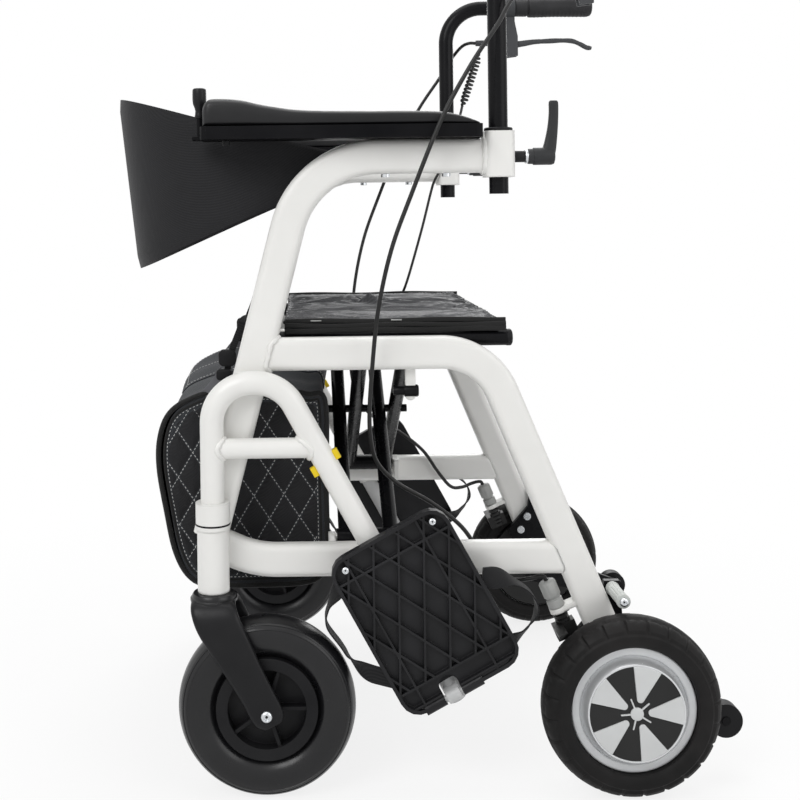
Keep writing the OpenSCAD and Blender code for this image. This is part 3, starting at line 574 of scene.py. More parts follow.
# Seat
SEAT_BASE_Z, SEAT_MID_X, SEAT_HALF_X, SEAT_HALF_Y = 513.8, -20.5, 125.5, 212
SEAT_EDGE, SEAT_CROWN, SEAT_PULL = 11, 5, 0.03
SEAT_CELLS = (62, 104)
SEAT_TUFT = (-0.17, 0.1)
TUFT_REACH, TUFT_DEEP, TUFT_WIDE = 7, 8, 26
TUFT_FOLDS = ((-72, 15), (112, 7), (18, 5), (165, 6), (225, 5), (-25, 6))
FOLD_WIDE, FOLD_LONG = 8, 21
PAD_SINK, COVER_LIFT, COVER_GAP = -2, 0.2, 0.001
COVER_CLOTH = {"quality": 6, "mass": 0.3, "tension_stiffness": 15, "compression_stiffness": 15,
    "shear_stiffness": 5, "bending_stiffness": 5, "shrink_min": -0.055}
COVER_FRAMES = 40
PIPING_D = 4.4
HEMS = ((213.4, 526.2, 3.2, 5.6), (215.2, 521, 3.4, 5.4), (215.6, 515.4, 3.4, 6.4))
HEM_FROM, HEM_TO, HEM_STEPS = -145, 113, 60
HEM_SWAY, HEM_SWAY_L, HEM_DIP, HEM_DIP_L = 0.5, 17, 0.7, 23
# Snaps on the seat's hems: thin pale bars whose colour and streak shape are a painted glint on the clips
SNAPS_X = (-109, -15)
SNAP_OUT, SNAP_Z, SNAP_W, SNAP_H = 215.6, 526.8, 1.4, 1.5
SNAP_GLINT_LINE = ((-6, -1), (-3.5, 0.4), (3.5, 0.4), (6, -1))


def seat_sheet(lift):
    """Top of the cushion without wrinkles: crowned, drawn down at the tuft, its sides pulled in."""
    n, m = SEAT_CELLS
    verts = []
    held = []
    for i in range(n + 1):
        u = 2 * i / n - 1
        for j in range(m + 1):
            v = 2 * j / m - 1
            x = SEAT_MID_X + u * (1 - SEAT_PULL * (1 - v * v)) * SEAT_HALF_X
            y = v * (1 - SEAT_PULL * (1 - u * u)) * SEAT_HALF_Y
            away = hypot((u - SEAT_TUFT[0]) * SEAT_HALF_X, (v - SEAT_TUFT[1]) * SEAT_HALF_Y)
            dip = TUFT_DEEP * exp(-(away / TUFT_WIDE) ** 2)
            if i in (0, n) or j in (0, m) or away < TUFT_REACH:
                held.append(len(verts))
            swell = SEAT_CROWN * (1 - u ** 4) * (1 - v ** 4)
            verts.append(Vector((x, y, SEAT_BASE_Z + SEAT_EDGE + swell - dip + lift)) * MM)
    row = m + 1
    corners = [i * row + j for i in range(n) for j in range(m)]
    return mesh_object(verts, [(k, k + row, k + row + 1, k + 1) for k in corners], seat_cloth), held


def seat_cover():
    """Cloth run: a cover with cloth to spare, held at its edge and tuft, settles on the pad in wrinkles."""
    pad, _ = seat_sheet(PAD_SINK)
    pad.modifiers.new("hit", "COLLISION")
    pad.collision.thickness_outer = COVER_GAP
    cover, held = seat_sheet(COVER_LIFT)
    cover.vertex_groups.new(name="held").add(held, 1.0, "REPLACE")
    run = cover.modifiers.new("cloth", "CLOTH")
    run.settings.vertex_group_mass = "held"
    for key, value in COVER_CLOTH.items():
        setattr(run.settings, key, value)
    run.collision_settings.distance_min = COVER_GAP
    run.point_cache.frame_end = COVER_FRAMES
    for f in range(1, COVER_FRAMES + 1):
        scene.frame_set(f)
    graph = bpy.context.evaluated_depsgraph_get()
    top = [v.co.copy() for v in cover.evaluated_get(graph).data.vertices]
    faces = [tuple(p.vertices) for p in cover.data.polygons]
    scene.frame_set(1)
    bpy.data.objects.remove(pad)
    bpy.data.objects.remove(cover)
    return top, faces


def tuft_rise(p):
    """Height that the folds radiating from the tuft add at a point in metres."""
    dx = p.x / MM - SEAT_MID_X - SEAT_TUFT[0] * SEAT_HALF_X
    dy = p.y / MM - SEAT_TUFT[1] * SEAT_HALF_Y
    rise = 0
    for angle, high in TUFT_FOLDS:
        c = cos(radians(angle))
        s = sin(radians(angle))
        along = max(0, dx * c + dy * s) / FOLD_LONG
        off = (dy * c - dx * s) / FOLD_WIDE
        rise += high * along * exp(1 - along - off * off)
    return rise * MM


def seat_hem(sign, k, out, z, thick, tall):
    """One slightly uneven roll of cloth along the seat's side."""
    path = []
    for i in range(HEM_STEPS + 1):
        x = HEM_FROM + (HEM_TO - HEM_FROM) * i / HEM_STEPS
        sway = HEM_SWAY * sin(x / HEM_SWAY_L + k)
        path.append(place(sign, (x, out + sway, z + HEM_DIP * sin(x / HEM_DIP_L + 2 * k))))
    return swept(path, oval(thick, tall, 14, 3.5), Y_AXIS, piping_cloth, sharp=60)


def seat_cushion():
    """Thin stuffed seat: buckled top cloth, a flat base, and hems rolled over the tubes."""
    n, m = SEAT_CELLS
    top, top_faces = seat_cover()
    for p in top:
        p.z += tuft_rise(p)
    base = len(top)
    verts = top + [Vector((p.x, p.y, SEAT_BASE_Z * MM)) for p in top]
    faces = top_faces + [tuple(base + k for k in reversed(f)) for f in top_faces]
    row = m + 1
    rim = list(range(m)) + [i * row + m for i in range(n)]
    rim += [n * row + j for j in range(m, 0, -1)] + [i * row for i in range(n, 0, -1)]
    faces += [(a, b, base + b, base + a) for a, b in zip(rim, rim[1:] + rim[:1])]
    parts = [mesh_object(verts, faces, seat_cloth, sharp=70),
             swept([top[a] for a in rim], oval(PIPING_D, PIPING_D, 8), Z_AXIS, piping_cloth, closed=True)]
    for sign in SIDES.values():
        parts += [seat_hem(sign, k, *hem) for k, hem in enumerate(HEMS)]
        # pale bars on the hems: the clips' painted glint
        for x in SNAPS_X:
            path = [place(sign, (x + dx, SNAP_OUT + bow, SNAP_Z)) for dx, bow in SNAP_GLINT_LINE]
            parts.append(swept(path, oval(SNAP_W, SNAP_H, 8), Y_AXIS, zinc))
    obj = piece("seat_cushion", parts, "seat")
    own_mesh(obj)


# Backrest
BAND_X, BAND_Z = -66, 709
BAND_REACH, BAND_LEAN, BAND_Y = 283, 12, 206
BAND_END, BAND_TALL, BAND_DROP, BAND_T = 24, 221, 16.5, 7
BAND_ROUND, BAND_TAPER = 0.7, 1.1
BAND_STEPS, BAND_RING = 120, 28
BAND_HEM, BAND_THIN, BAND_RIM = 0.9, 0.62, 0.03


def band_point(k, up, out):
    """Point on the backrest: step k along it, up from -1 to 1, out from its middle surface."""
    a = pi * k / BAND_STEPS
    f = abs(sin(a)) ** BAND_ROUND
    y = -signed_power(cos(a), BAND_ROUND)
    half = BAND_END / 2 + (BAND_TALL - BAND_END) / 2 * f ** BAND_TAPER
    return Vector((BAND_X - (BAND_REACH + out + up * BAND_LEAN) * f, y * (BAND_Y + out),
                   BAND_Z - BAND_DROP * f + up * half)) * MM


def backrest_band():
    """Double cloth over a thin core, thicker at its hems."""
    section = []
    for j in range(BAND_RING):
        t = j / BAND_RING
        up = 1 - 4 * t if t < 0.5 else 4 * t - 3
        hem = 1.0 if abs(up) > BAND_HEM else BAND_THIN
        past = max(0, abs(up) - 1 + BAND_RIM) / BAND_RIM
        rim = sqrt(max(0, 1 - past * past))
        section.append((up, (1 if t < 0.5 else -1) * BAND_T / 2 * hem * rim))
    rings = [[band_point(k, up, out) for up, out in section] for k in range(BAND_STEPS + 1)]
    obj = piece("backrest_band", [loft(rings, band_cloth, sharp=50)], "backrest")
    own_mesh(obj)


# Storage bag
BAG_OUTLINE = (
    (-99, 240), (-99, 330), (-99, 428), (-120, 437), (-150, 441), (-225, 442), (-262, 432), (-286, 415),
    (-297, 386), (-298, 350), (-290, 300), (-280, 252), (-264, 222), (-240, 211), (-185, 210), (-128, 212),
    (-106, 221))
BAG_MID = Vector((-195, 325))
BAG_HALF = 190
BAG_POINTS = 180
PANEL_RINGS, PANEL_STEP, PANEL_SET = 65, 0.0155, 2.5
QUILT_AT, QUILT_ACROSS, QUILT_UP = Vector((-276, 396)), Vector((35.8, 1.9)), Vector((-0.8, 56.3))
QUILT_PUFF, QUILT_WIDE, QUILT_ROUND = 2.8, 5, 1.4
QUILT_SHARE, QUILT_FADE = 0.89, 0.02
QUILT_LINES = range(-6, 12)
QUILT_REACH = 330
BORDER_WELT, BORDER_STITCH, BORDER_W = 7.4, 10.4, 12
SAG, SAG_FROM_Z, SAG_FADE, SAG_RIPPLE = 7, 380, 60, 0.25
BULGE, BULGE_FROM_X, BULGE_FADE, BULGE_SET, BULGE_RIPPLE = 5, -255, 40, 4, 0.3
TUCK, TUCK_FROM, BAG_SPAN = 2.5, 0.9, 120
EDGE_POINTS, EDGE_D, EDGE_SET = 150, 6.5, 2.6
WELT_W, WELT_H, WELT_SET, STITCH_SET = 2.6, 3.4, 2.4, 2.2
SHELL_RINGS = 28
LID_FROM_Z, LID_FROM, LID_TO, LID_ROWS = 404, 0.16, 0.985, 16
LID_THIN, LID_FULL, LID_SIDES, LID_ENDS = 1.6, 11, 14, 12
LID_SEAMS = (0.21, 0.6, 0.93)
STITCH_L, STITCH_GAP, STITCH_R, STITCH_PROUD = 3.0, 1.7, 0.5, 0.3
STITCH_ENDS = ((0, 0.45), (0.25, 1), (0.75, 1), (1, 0.45))
CLIP_AT = (-214, 201, 475)
CLIP_W, CLIP_H, CLIP_BEVEL = 21, 36, 1.4
CLIP_LOW, CLIP_SLOT, CLIP_SET, CLIP_T = 13, 3.5, 4, 8
HANGER = ((-214, 199, 466), (-213, 200, 478), (-207, 202, 496), (-199, 205, 516), (-195, 209, 528),
    (-188, 219, 532))
BAG_LOOP = ((-243, 186, 434), (-234, 192, 444), (-223, 198, 458), (-217, 200, 468))
BAG_STRAPS = ((BAG_LOOP, 15, strap_grey), (HANGER, 8, webbing))
BAG_STRAP_T = 1.8
TAB_X, TAB_Z, TAB_T, TAB_H, TAB_FROM, TAB_TO, TAB_SAG = -198, 418, 5, 28, 184, 222.2, 1.5


def bag_curve(count):
    """Evenly spaced points round the side panel."""
    curve = spline(BAG_OUTLINE, 16, closed=True)
    curve += curve[:1]
    lengths = [0]
    for p, q in zip(curve, curve[1:]):
        lengths.append(lengths[-1] + (q - p).length)
    out = []
    i = 0
    for k in range(count):
        want = lengths[-1] * k / count
        while lengths[i + 1] < want:
            i += 1
        out.append(curve[i].lerp(curve[i + 1], (want - lengths[i]) / (lengths[i + 1] - lengths[i])))
    return out


def quilt_line_away(x, z):
    """Distance, in millimetres, to the nearest line of both slanting families."""
    dx, dz = Vector((x, z)) - QUILT_AT
    (hx, hz), (vx, vz) = QUILT_ACROSS, QUILT_UP
    area = hx * vz - hz * vx
    across = (dx * vz - dz * vx) / area
    up = (dz * hx - dx * hz) / area
    found = []
    for way in (1, -1):
        c = across + way * up
        found.append(abs(c - round(c)) * area / hypot(vz - way * hz, way * hx - vx))
    return min(found)


def inset(points, widths):
    """Closed outline with each point moved inwards by its own width, or outwards if that is negative."""
    out = []
    for before, p, after, width in zip(points[-1:] + points, points, points[1:] + points[:1], widths):
        t = (after - before).normalized()
        out.append(Vector((p.x - t.y * width, p.y + t.x * width)))
    return out


def bag_line(count, width):
    """The panel's outline, moved inwards by one width."""
    return inset(bag_curve(count), [width] * count)


def on_panel(sign, points, proud):
    return [place(sign, (x, BAG_HALF + proud, z)) for x, z in points]


def bag_panel(sign):
    """Quilted side panel: puffed diamonds inside a flat border."""
    outline = bag_curve(BAG_POINTS)
    rings = []
    for k in range(PANEL_RINGS):
        size = 1 - PANEL_STEP * k
        within = share((QUILT_SHARE - size) / QUILT_FADE)
        ring = []
        for p in outline:
            x, z = BAG_MID + (p - BAG_MID) * size
            puff = QUILT_PUFF * (1 - exp(-(quilt_line_away(x, z) / QUILT_WIDE) ** QUILT_ROUND)) * within
            ring.append(place(sign, (x, BAG_HALF - PANEL_SET + puff, z)))
        rings.append(ring)
    return loft(rings, bag_cloth, sharp=80)


def shell_point(p, v):
    """Point of the gusset at the outline's p, v from -1 to 1 across: bulged in front, sagging on top."""
    middle = 1 - v ** 4
    top = share((p.y - SAG_FROM_Z) / SAG_FADE)
    front = share((BULGE_FROM_X - p.x) / BULGE_FADE)
    sag = SAG * top * middle * (1 + SAG_RIPPLE * sin(11 * v + p.x / 40))
    bulge = BULGE * front * middle * (1 + BULGE_RIPPLE * sin(p.y / 33 + 2 * v))
    tuck = TUCK * max(0, abs(v) - TUCK_FROM) / (1 - TUCK_FROM)
    x, z = BAG_MID + (p - BAG_MID) * (1 - tuck / BAG_SPAN)
    return Vector((x - bulge + BULGE_SET * front, v * (BAG_HALF - 2), z - sag)) * MM


def bag_shell():
    """Gusset between the two side panels."""
    outline = bag_curve(BAG_POINTS)
    rings = [[shell_point(p, 2 * k / SHELL_RINGS - 1) for p in outline] for k in range(SHELL_RINGS + 1)]
    return loft(rings, gusset_cloth, sharp=60)


def stitches(path, normal):
    """Row of separate pale stitches along a path of points in metres."""
    verts = []
    faces = []
    travelled = 0.0
    next_at = 0.0
    shape = oval(2 * STITCH_R, 1.4 * STITCH_R, 6)
    normal = Vector(normal)
    for p, q in zip(path, path[1:]):
        length = (q - p).length / MM
        d = (q - p).normalized()
        u = (normal - d * normal.dot(d)).normalized()
        v = d.cross(u)
        while next_at < travelled + length:
            start = p + d * (next_at - travelled) * MM
            base = len(verts)
            for along, grow in STITCH_ENDS:
                centre = start + d * STITCH_L * along * MM
                verts.extend(centre + (v * s[0] + u * s[1]) * grow * MM for s in shape)
            faces.extend(tuple(base + i for i in f) for f in loft_faces(len(STITCH_ENDS), len(shape)))
            next_at += STITCH_L + STITCH_GAP
        travelled += length
    return mesh_object(verts, faces, thread_white)


def inside(outline, p):
    found = False
    for a, b in zip(outline, outline[1:] + outline[:1]):
        if (a.y > p.y) != (b.y > p.y) and p.x < a.x + (p.y - a.y) / (b.y - a.y) * (b.x - a.x):
            found = not found
    return found


def quilt_stitches(sign):
    """Stitches along both families of slanting lines, within the panel's border, and round the border."""
    outline = bag_line(120, BORDER_W)
    lines = []
    for way in (1, -1):
        d = (QUILT_ACROSS - way * QUILT_UP).normalized()
        for k in QUILT_LINES:
            origin = QUILT_AT + k * QUILT_ACROSS
            hits = [t for t in range(-QUILT_REACH, QUILT_REACH, 2) if inside(outline, origin + d * t)]
            if hits:
                lines.append((origin + d * hits[0], origin + d * hits[-1]))
    border = bag_line(160, BORDER_STITCH)
    lines.append(border + border[:1])
    return [stitches(on_panel(sign, line, -STITCH_SET), (0, sign, 0)) for line in lines]


def lid_lift(v, t):
    """Height of the lid over the gusset: thin at its rim and fullest towards the far side."""
    across = (v - LID_FROM) / (LID_TO - LID_FROM)
    rim = min(1, LID_SIDES * min(across, 1 - across), LID_ENDS * min(t, 1 - t))
    return LID_THIN + (LID_FULL - LID_THIN) * across * sqrt(max(0, rim * (2 - rim)))


def bag_lid():
    """Padded, stitched flap that lies on the far part of the top."""
    line = [p for p in bag_curve(BAG_POINTS) if p.y > LID_FROM_Z]
    last = len(line) - 1
    sunk = inset(line, [1] * len(line))[1:-1]

    def row(v, proud):
        widths = [-lid_lift(v, i / last) - proud for i in range(len(line))]
        return [shell_point(p, v) for p in inset(line, widths)[1:-1]]

    def across(k, count):
        return LID_FROM + (LID_TO - LID_FROM) * k / count

    rings = []
    for k in range(LID_ROWS + 1):
        v = across(k, LID_ROWS)
        rings.append(row(v, 0) + [shell_point(p, v) for p in reversed(sunk)])
    edge = [row(across(k, 12), STITCH_PROUD)[-4] for k in range(1, 12)]
    seams = [stitches(row(v, STITCH_PROUD)[2:-2], Z_AXIS) for v in LID_SEAMS]
    return [loft(rings, gusset_cloth, sharp=60)] + seams + [stitches(edge, (-1, 0, 0))]


def bag_hanger(sign):
    """Loop on the bag's edge and a strap from it up to the leg, with a slotted clip between them."""
    parts = []
    for line, width, look in BAG_STRAPS:
        path = spline(placed(sign, line), 8)
        parts.append(swept(path, oval(BAG_STRAP_T, width, 12, 6), Y_AXIS, look))
    x, out, z = CLIP_AT
    out -= CLIP_T / 2
    high = CLIP_H - CLIP_LOW - CLIP_SLOT
    low_at = (x - CLIP_SET, out, z - (CLIP_H - CLIP_LOW) / 2)
    high_at = (x, out, z + (CLIP_H - high) / 2)
    parts.append(slab(sign, low_at, CLIP_LOW, CLIP_W - 2, 4, CLIP_T, CLIP_BEVEL, moulded))
    parts.append(slab(sign, high_at, high, CLIP_W, 6, CLIP_T, CLIP_BEVEL, moulded))
    return parts


def bag_tab(sign):
    """Webbing that ties the bag to the front leg."""
    shape = oval(TAB_T, TAB_H, 16, 6)
    rings = []
    for out in (TAB_FROM, TAB_FROM + 6, TAB_TO - 3, TAB_TO):
        sag = TAB_SAG * sin(pi * (out - TAB_FROM) / (TAB_TO - TAB_FROM))
        rings.append([place(sign, (TAB_X + q[0], out, TAB_Z - sag + q[1])) for q in shape])
    return loft(rings, webbing)


def storage_bag():
    parts = [bag_shell()] + bag_lid()
    for sign in SIDES.values():
        edge = on_panel(sign, bag_curve(EDGE_POINTS), -EDGE_SET)
        welt = on_panel(sign, bag_line(EDGE_POINTS, BORDER_WELT), -WELT_SET)
        parts += [bag_panel(sign),
                  swept(edge, oval(EDGE_D, EDGE_D, 10), Y_AXIS, piping_cloth, closed=True),
                  swept(welt, oval(WELT_W, WELT_H, 8), Y_AXIS, piping_cloth, closed=True)]
        parts += quilt_stitches(sign) + bag_hanger(sign) + [bag_tab(sign)]
    obj = piece("storage_bag", parts, "left_frame")
    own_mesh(obj)


# Heel straps
STRAP_ROUTE = ((-66, 242), (-88, 228), (-100, 209), (-102, 190), (-87, 168), (-72, 148), (-46, 134), (0, 130),
    (35, 146), (68, 157), (98, 166), (122, 181), (135, 204), (126, 225), (100, 239), (72, 243))
STRAP_TURN = ((0, 0), (1, 62), (2, 90), (4.4, 90), (6, 20), (7, 0), (9.6, 0), (11, 66), (12, 90), (13.4, 90),
    (15, 0))
STRAP_STEPS = 10
STRAP_W, STRAP_T, STRAP_OUT = 24, 2, 276.2


def heel_strap(side, sign):
    """Webbing sewn flat behind the plate, turned on edge where it loops past the plate's rims."""
    path = []
    for k, p in enumerate(spline(STRAP_ROUTE, STRAP_STEPS)):
        turn = radians(value_at(STRAP_TURN, k / STRAP_STEPS))
        path.append(place(sign, (p[0], STRAP_OUT - (STRAP_W - STRAP_T) / 2 * sin(turn), p[1])))

    def section(t):
        turn = radians(value_at(STRAP_TURN, t * (len(STRAP_ROUTE) - 1)))
        c = cos(turn)
        s = sin(turn)
        return [(a * c - b * s, a * s + b * c) for a, b in oval(STRAP_T, STRAP_W, 20, 8)]

    strap = swept(path, section, Y_AXIS, webbing)
    piece(f"{side}_heel_strap", [strap], f"{side}_foot_plate")


# Wheels
WHEEL_Z, TYRE_R = 100, 100
CASTER_X, CASTER_OUT = -170, 261.3
REAR_X, REAR_OUT = 236, 277
STEM_X = -229
CASTER_HALF = (
    (57.2, 11.5), (58.4, 12), (60, 13.6), (62.5, 16.6), (66, 19.6), (71, 21.6), (76, 22.2), (82, 22),
    (86, 21.3), (89, 20.2), (89.6, 20.6), (91.4, 19.8), (92, 18.9), (93.6, 17.6), (94.2, 17.9), (96, 15.8),
    (96.4, 14.8), (98, 11.6), (99.3, 7.6), (99.9, 3.6))
REAR_HALF = (
    (70.3, 20.5), (72, 22.4), (75, 24), (80, 24.9), (84, 24.6), (87, 23.6), (90, 22), (92.5, 20),
    (94.5, 17.8), (96.2, 15), (97.6, 12), (98.7, 9), (99.4, 6), (99.8, 3))
FORK_PATH = (
    # x, out from the wheel's middle plane, z, width fore and aft, thickness, tilt of the width line
    (-163, 30.5, 88, 22, 8, 62), (-166, 30.6, 94, 33, 9.5, 62), (-171, 30.8, 103, 37, 10.5, 62),
    (-180, 31, 121, 37, 11, 62), (-194, 31.2, 147, 40, 12, 60), (-209, 31, 175, 45, 13, 50),
    (-222, 29.5, 199, 49, 13.5, 22), (-228, 22, 213, 50, 14, 4), (-229, 11, 217, 50, 14, 0),
    (-229, 0, 218, 50, 14, 0))
FORK_TILT, FORK_RISE = 62, 28
FORK_FLANGE = ((10, 217), (25, 217), (26.5, 218.5), (26.5, 221), (24.6, 222.2), (24.6, 224), (23, 226.5),
    (19, 227.6), (10, 227.6))
FORK_AXLE = ((5.9, -34), (5.9, 34), (4, 34), (4, -34))
AXLE_BOLT_R, AXLE_BOLT_OUT = 6.5, 36.3
# Screw head, and the black disc of painted shade on the floor of its socket, as shares of the head's radius
BOLT_HEAD = ((0.49, 0.21), (0.5, 0.58), (0.7, 0.55), (0.93, 0.36), (1, 0.14), (1, -0.3), (0.25, -0.3),
    (0.25, 0.21))
SOCKET_SHADE_DISC = ((0, -0.28), (0.275, -0.28), (0.275, 0.1925), (0, 0.1925))
SOCKET_CORE_R = 0.05
SIPES, SIPE_STEPS, SIPE_DEEP, SIPE_SET, SIPE_NARROW = 24, 14, 2.3, 0.12, 7
SHOULDER_R, SHOULDER_OUT = (86, 99), 8
WAVY_OUT, WAVY_SWING, WAVY_HALF, WAVY_DEEP, WAVY_FROM_R = 9, 1.6, 1.6, 1.2, 96
WALL_R, WALL_RING_R, WALL_RING_HALF, WALL_RING_DEEP = 84, 87, 0.6, 1.5


def wheel_centre(x, out, sign):
    return (x, sign * out, WHEEL_Z)


def tyre_profile(half):
    return [(r, -y) for r, y in half] + [(TYRE_R, 0)] + [(r, y) for r, y in reversed(half)]


def bolt_head(name, at, axis, radius, body):
    """Low domed screw head with a socket, whose floor is a black disc of painted shade."""
    head = lathe([(r * radius, y * radius) for r, y in BOLT_HEAD], at, axis, steel, 36)
    # black disc on the socket's floor: painted shade for the depth of the socket
    floor = [(max(r * radius, SOCKET_CORE_R), y * radius) for r, y in SOCKET_SHADE_DISC]
    piece(name, [head, lathe(floor, at, axis, motor_black, 12)], body)


def caster_tyre(side, sign):
    """Solid tyre: soft bulge by the rim, two raised lines on the shoulder and a rounded tread."""
    centre = wheel_centre(CASTER_X, CASTER_OUT, sign)
    tyre = lathe(tyre_profile(CASTER_HALF), centre, Y_AXIS, caster_rubber, 120, sharp=50)
    piece(f"{side}_caster_tyre", [tyre], f"{side}_caster_wheel")


def caster_fork(side, sign):
    """Moulded fork: two leaning arms that grow out of one crown."""
    arms = [(p, 1) for p in FORK_PATH] + [(p, -1) for p in reversed(FORK_PATH[:-1])]
    stations = spline([(p[0], CASTER_OUT + p[1] * way, p[2]) for p, way in arms], 6)
    sizes = spline([p[3:] for p, _ in arms], 6)
    rings = []
    for i, (c, (width, thickness, tilt)) in enumerate(zip(stations, sizes)):
        t = (stations[min(i + 1, len(stations) - 1)] - stations[max(i - 1, 0)]).normalized()
        rise = FORK_RISE * min(1, tilt / FORK_TILT)
        wide = Vector((cos(radians(tilt - FORK_TILT + rise)), 0, sin(radians(rise))))
        wide = (wide - t * wide.dot(t)).normalized()
        thick = t.cross(wide)
        rings.append([place(sign, c + wide * q[0] + thick * q[1]) for q in oval(width, thickness, 24, 3.2)])
    parts = [loft(rings, fork_black, sharp=60),
             lathe(FORK_FLANGE, (STEM_X, sign * CASTER_OUT, 0), Z_AXIS, caster_rubber, 64),
             lathe(FORK_AXLE, wheel_centre(CASTER_X, CASTER_OUT, sign), Y_AXIS, steel, 32)]
    fork = f"{side}_caster_fork"
    piece(fork, parts, fork)
    for end, way in (("out", 1), ("in", -1)):
        at = wheel_centre(CASTER_X, CASTER_OUT + way * AXLE_BOLT_OUT, sign)
        bolt_head(f"{side}_axle_bolt_{end}", at, (0, sign * way, 0), AXLE_BOLT_R, fork)


def tread(angle, r, y):
    """Cross grooves on the shoulders, a wavy groove each side of the middle rib and a ring by the wall."""
    turn = angle * SIPES / tau
    phase = (turn + SIPE_SET * copysign(1, y)) % 1
    cross = share(1.6 * (1 - abs(phase - 0.5) * 2 * SIPE_NARROW))
    on_shoulder = SHOULDER_R[0] < r < SHOULDER_R[1] and abs(y) > SHOULDER_OUT
    wavy = r > WAVY_FROM_R and abs(abs(y) - WAVY_OUT - WAVY_SWING * sin(tau * turn)) < WAVY_HALF
    ring = abs(r - WALL_RING_R) < WALL_RING_HALF
    deep = max(SIPE_DEEP * cross * on_shoulder, WAVY_DEEP * wavy, WALL_RING_DEEP * ring)
    lean = max(0, (r - WALL_R) / (TYRE_R - WALL_R))
    return r - deep * (0.35 + 0.65 * lean), y - copysign(deep * (1 - lean) * 0.8, y)


def rear_tyre(side, sign):
    centre = wheel_centre(REAR_X, REAR_OUT, sign)
    steps = SIPES * SIPE_STEPS
    tyre = lathe(tyre_profile(REAR_HALF), centre, Y_AXIS, tyre_rubber, steps, sharp=28, warp=tread)
    piece(f"{side}_rear_tyre", [tyre], f"{side}_rear_wheel")


RIM_R, CAP_R, FACE_Y = 70, 52.4, 25.4
RIM_LIP = ((RIM_R, -17), (RIM_R, 13), (69.4, 14.6), (68.2, 15.2), (61.2, 15.2), (60.2, 14.4), (60, 12),
    (61, 8), (61, -17))
RIM_CONE = ((60.4, 13.4), (60.2, 14.2), (54.6, 25), (53.8, 26.2), (52.8, 26.5), (52, 26.2), (51.8, 25),
    (51.8, 22), (57, 12))
RIM_BACK = ((8.2, -22), (67, -22), (RIM_R - 0.5, -17.5), (RIM_R - 0.5, -12), (61.5, -12), (61.5, -17),
    (8.2, -17))
RIM_FACE = ((ON_AXIS, FACE_Y), (CAP_R, FACE_Y), (CAP_R, FACE_Y - 3), (ON_AXIS, FACE_Y - 3))
RIM_BOSS = ((ON_AXIS, FACE_Y + 2.2), (5.6, FACE_Y + 2.2), (7.2, FACE_Y + 1.4), (7.2, FACE_Y - 1),
    (ON_AXIS, FACE_Y - 1))
RIM_RINGS = (
    (RIM_LIP, lip_alloy, 120, 25), (RIM_CONE, bright_alloy, 120, 25), (RIM_BACK, motor_black, 96, 35),
    (RIM_FACE, motor_black, 96, 35), (RIM_BOSS, alloy_face, 40, 35))
RIM_SPOKE = ((5.5, -0.9), (17.5, -0.8), (18, 0), (17.5, 0.8), (5.5, 0.9))
PETALS, PETAL_TURN, PETAL_T, SPOKE_T, PLATE_SUNK, PLATE_BEVEL = 5, 4, 1.5, 1.1, 0.5, 0.4
PETAL_FROM, PETAL_POINT_R, PETAL_HALF_ANGLE = 16.5, 4, 17.5


def petal_shape():
    """Teardrop with its round point towards the hub and its wide end at the cone."""
    points = []
    for i in range(9):
        a = radians(100 + 160 * i / 8)
        points.append((PETAL_FROM + PETAL_POINT_R * cos(a), PETAL_POINT_R * sin(a)))
    for i in range(9):
        a = radians(PETAL_HALF_ANGLE * (i / 4 - 1))
        points.append(((CAP_R - 0.4) * cos(a), (CAP_R - 0.4) * sin(a)))
    return points


def rim_plate(outline, turn, centre, sign, thick):
    """Raised satin plate on the rim's face, with its outline turned round the hub."""
    mid = sum(p[0] for p in outline) / len(outline)
    rings = []
    rims = ((-PLATE_SUNK, 0), (thick - PLATE_BEVEL, 0), (thick, PLATE_BEVEL))
    for up, draw_in in rims:
        ring = []
        for r, w in outline:
            px = mid + (r - mid) * (1 - draw_in / 20)
            pw = w * (1 - draw_in / max(6, abs(w) * 2))
            x = px * cos(turn) - pw * sin(turn)
            z = px * sin(turn) + pw * cos(turn)
            ring.append((Vector(centre) + Vector((x, sign * (FACE_Y + up), z))) * MM)
        rings.append(ring)
    return loft(rings, alloy_face, sharp=30)


def rear_rim(side, sign):
    """Polished lip, and a cone that rises from it to a black face with five satin petals and a small star."""
    centre = wheel_centre(REAR_X, REAR_OUT, sign)
    parts = [lathe(profile, centre, (0, sign, 0), *look) for profile, *look in RIM_RINGS]
    for k in range(PETALS):
        turn = radians(PETAL_TURN + 360 / PETALS * k)
        parts.append(rim_plate(petal_shape(), turn, centre, sign, PETAL_T))
        parts.append(rim_plate(RIM_SPOKE, turn + pi / PETALS, centre, sign, SPOKE_T))
    piece(f"{side}_rear_rim", parts, f"{side}_rear_wheel")


# Handles
FRAME_OUT = 235
GRIP_X, GRIP_Z, GRIP_L, GRIP_RINGS, GRIP_RING = 210, 965, 119, 110, 40
GRIP_RADII = ((0, 12.4), (1.2, 13.8), (18.2, 14), (19.2, 13), (20.4, 13), (21.6, 15), (24, 15.4), (60, 14.8),
    (100, 15.3), (112, 15.5), (117, 14.2), (119, 11.5))
GRIP_TIGHT, PALM_RISE, PALM_FROM, PALM_TO = 0.4, 1.1, 34, 118
PALM_EASE_IN, PALM_EASE_OUT, PALM_SIDE, PALM_SOFT = 8, 5, 0.25, 0.12
RIB_RISE, RIB_PITCH, RIB_FROM, RIB_TO = 0.35, 6, 30, 110
LEVER_X, LEVER_Z = 206, 906
LEVER_LINE = ((206, 907.5), (222, 909.5), (240, 912), (262, 913), (285, 913.6), (300, 912.4), (312, 907.6),
    (321, 902.6), (329, 901))
LEVER_THICK = ((0, 12), (0.12, 9.5), (0.3, 7.4), (0.6, 7), (0.8, 6.6), (0.93, 7.2), (1, 5))
LEVER_BOSS = ((3.2, -4.5), (7, -4.5), (7.5, -4), (7.5, 4), (7, 4.5), (3.2, 4.5))
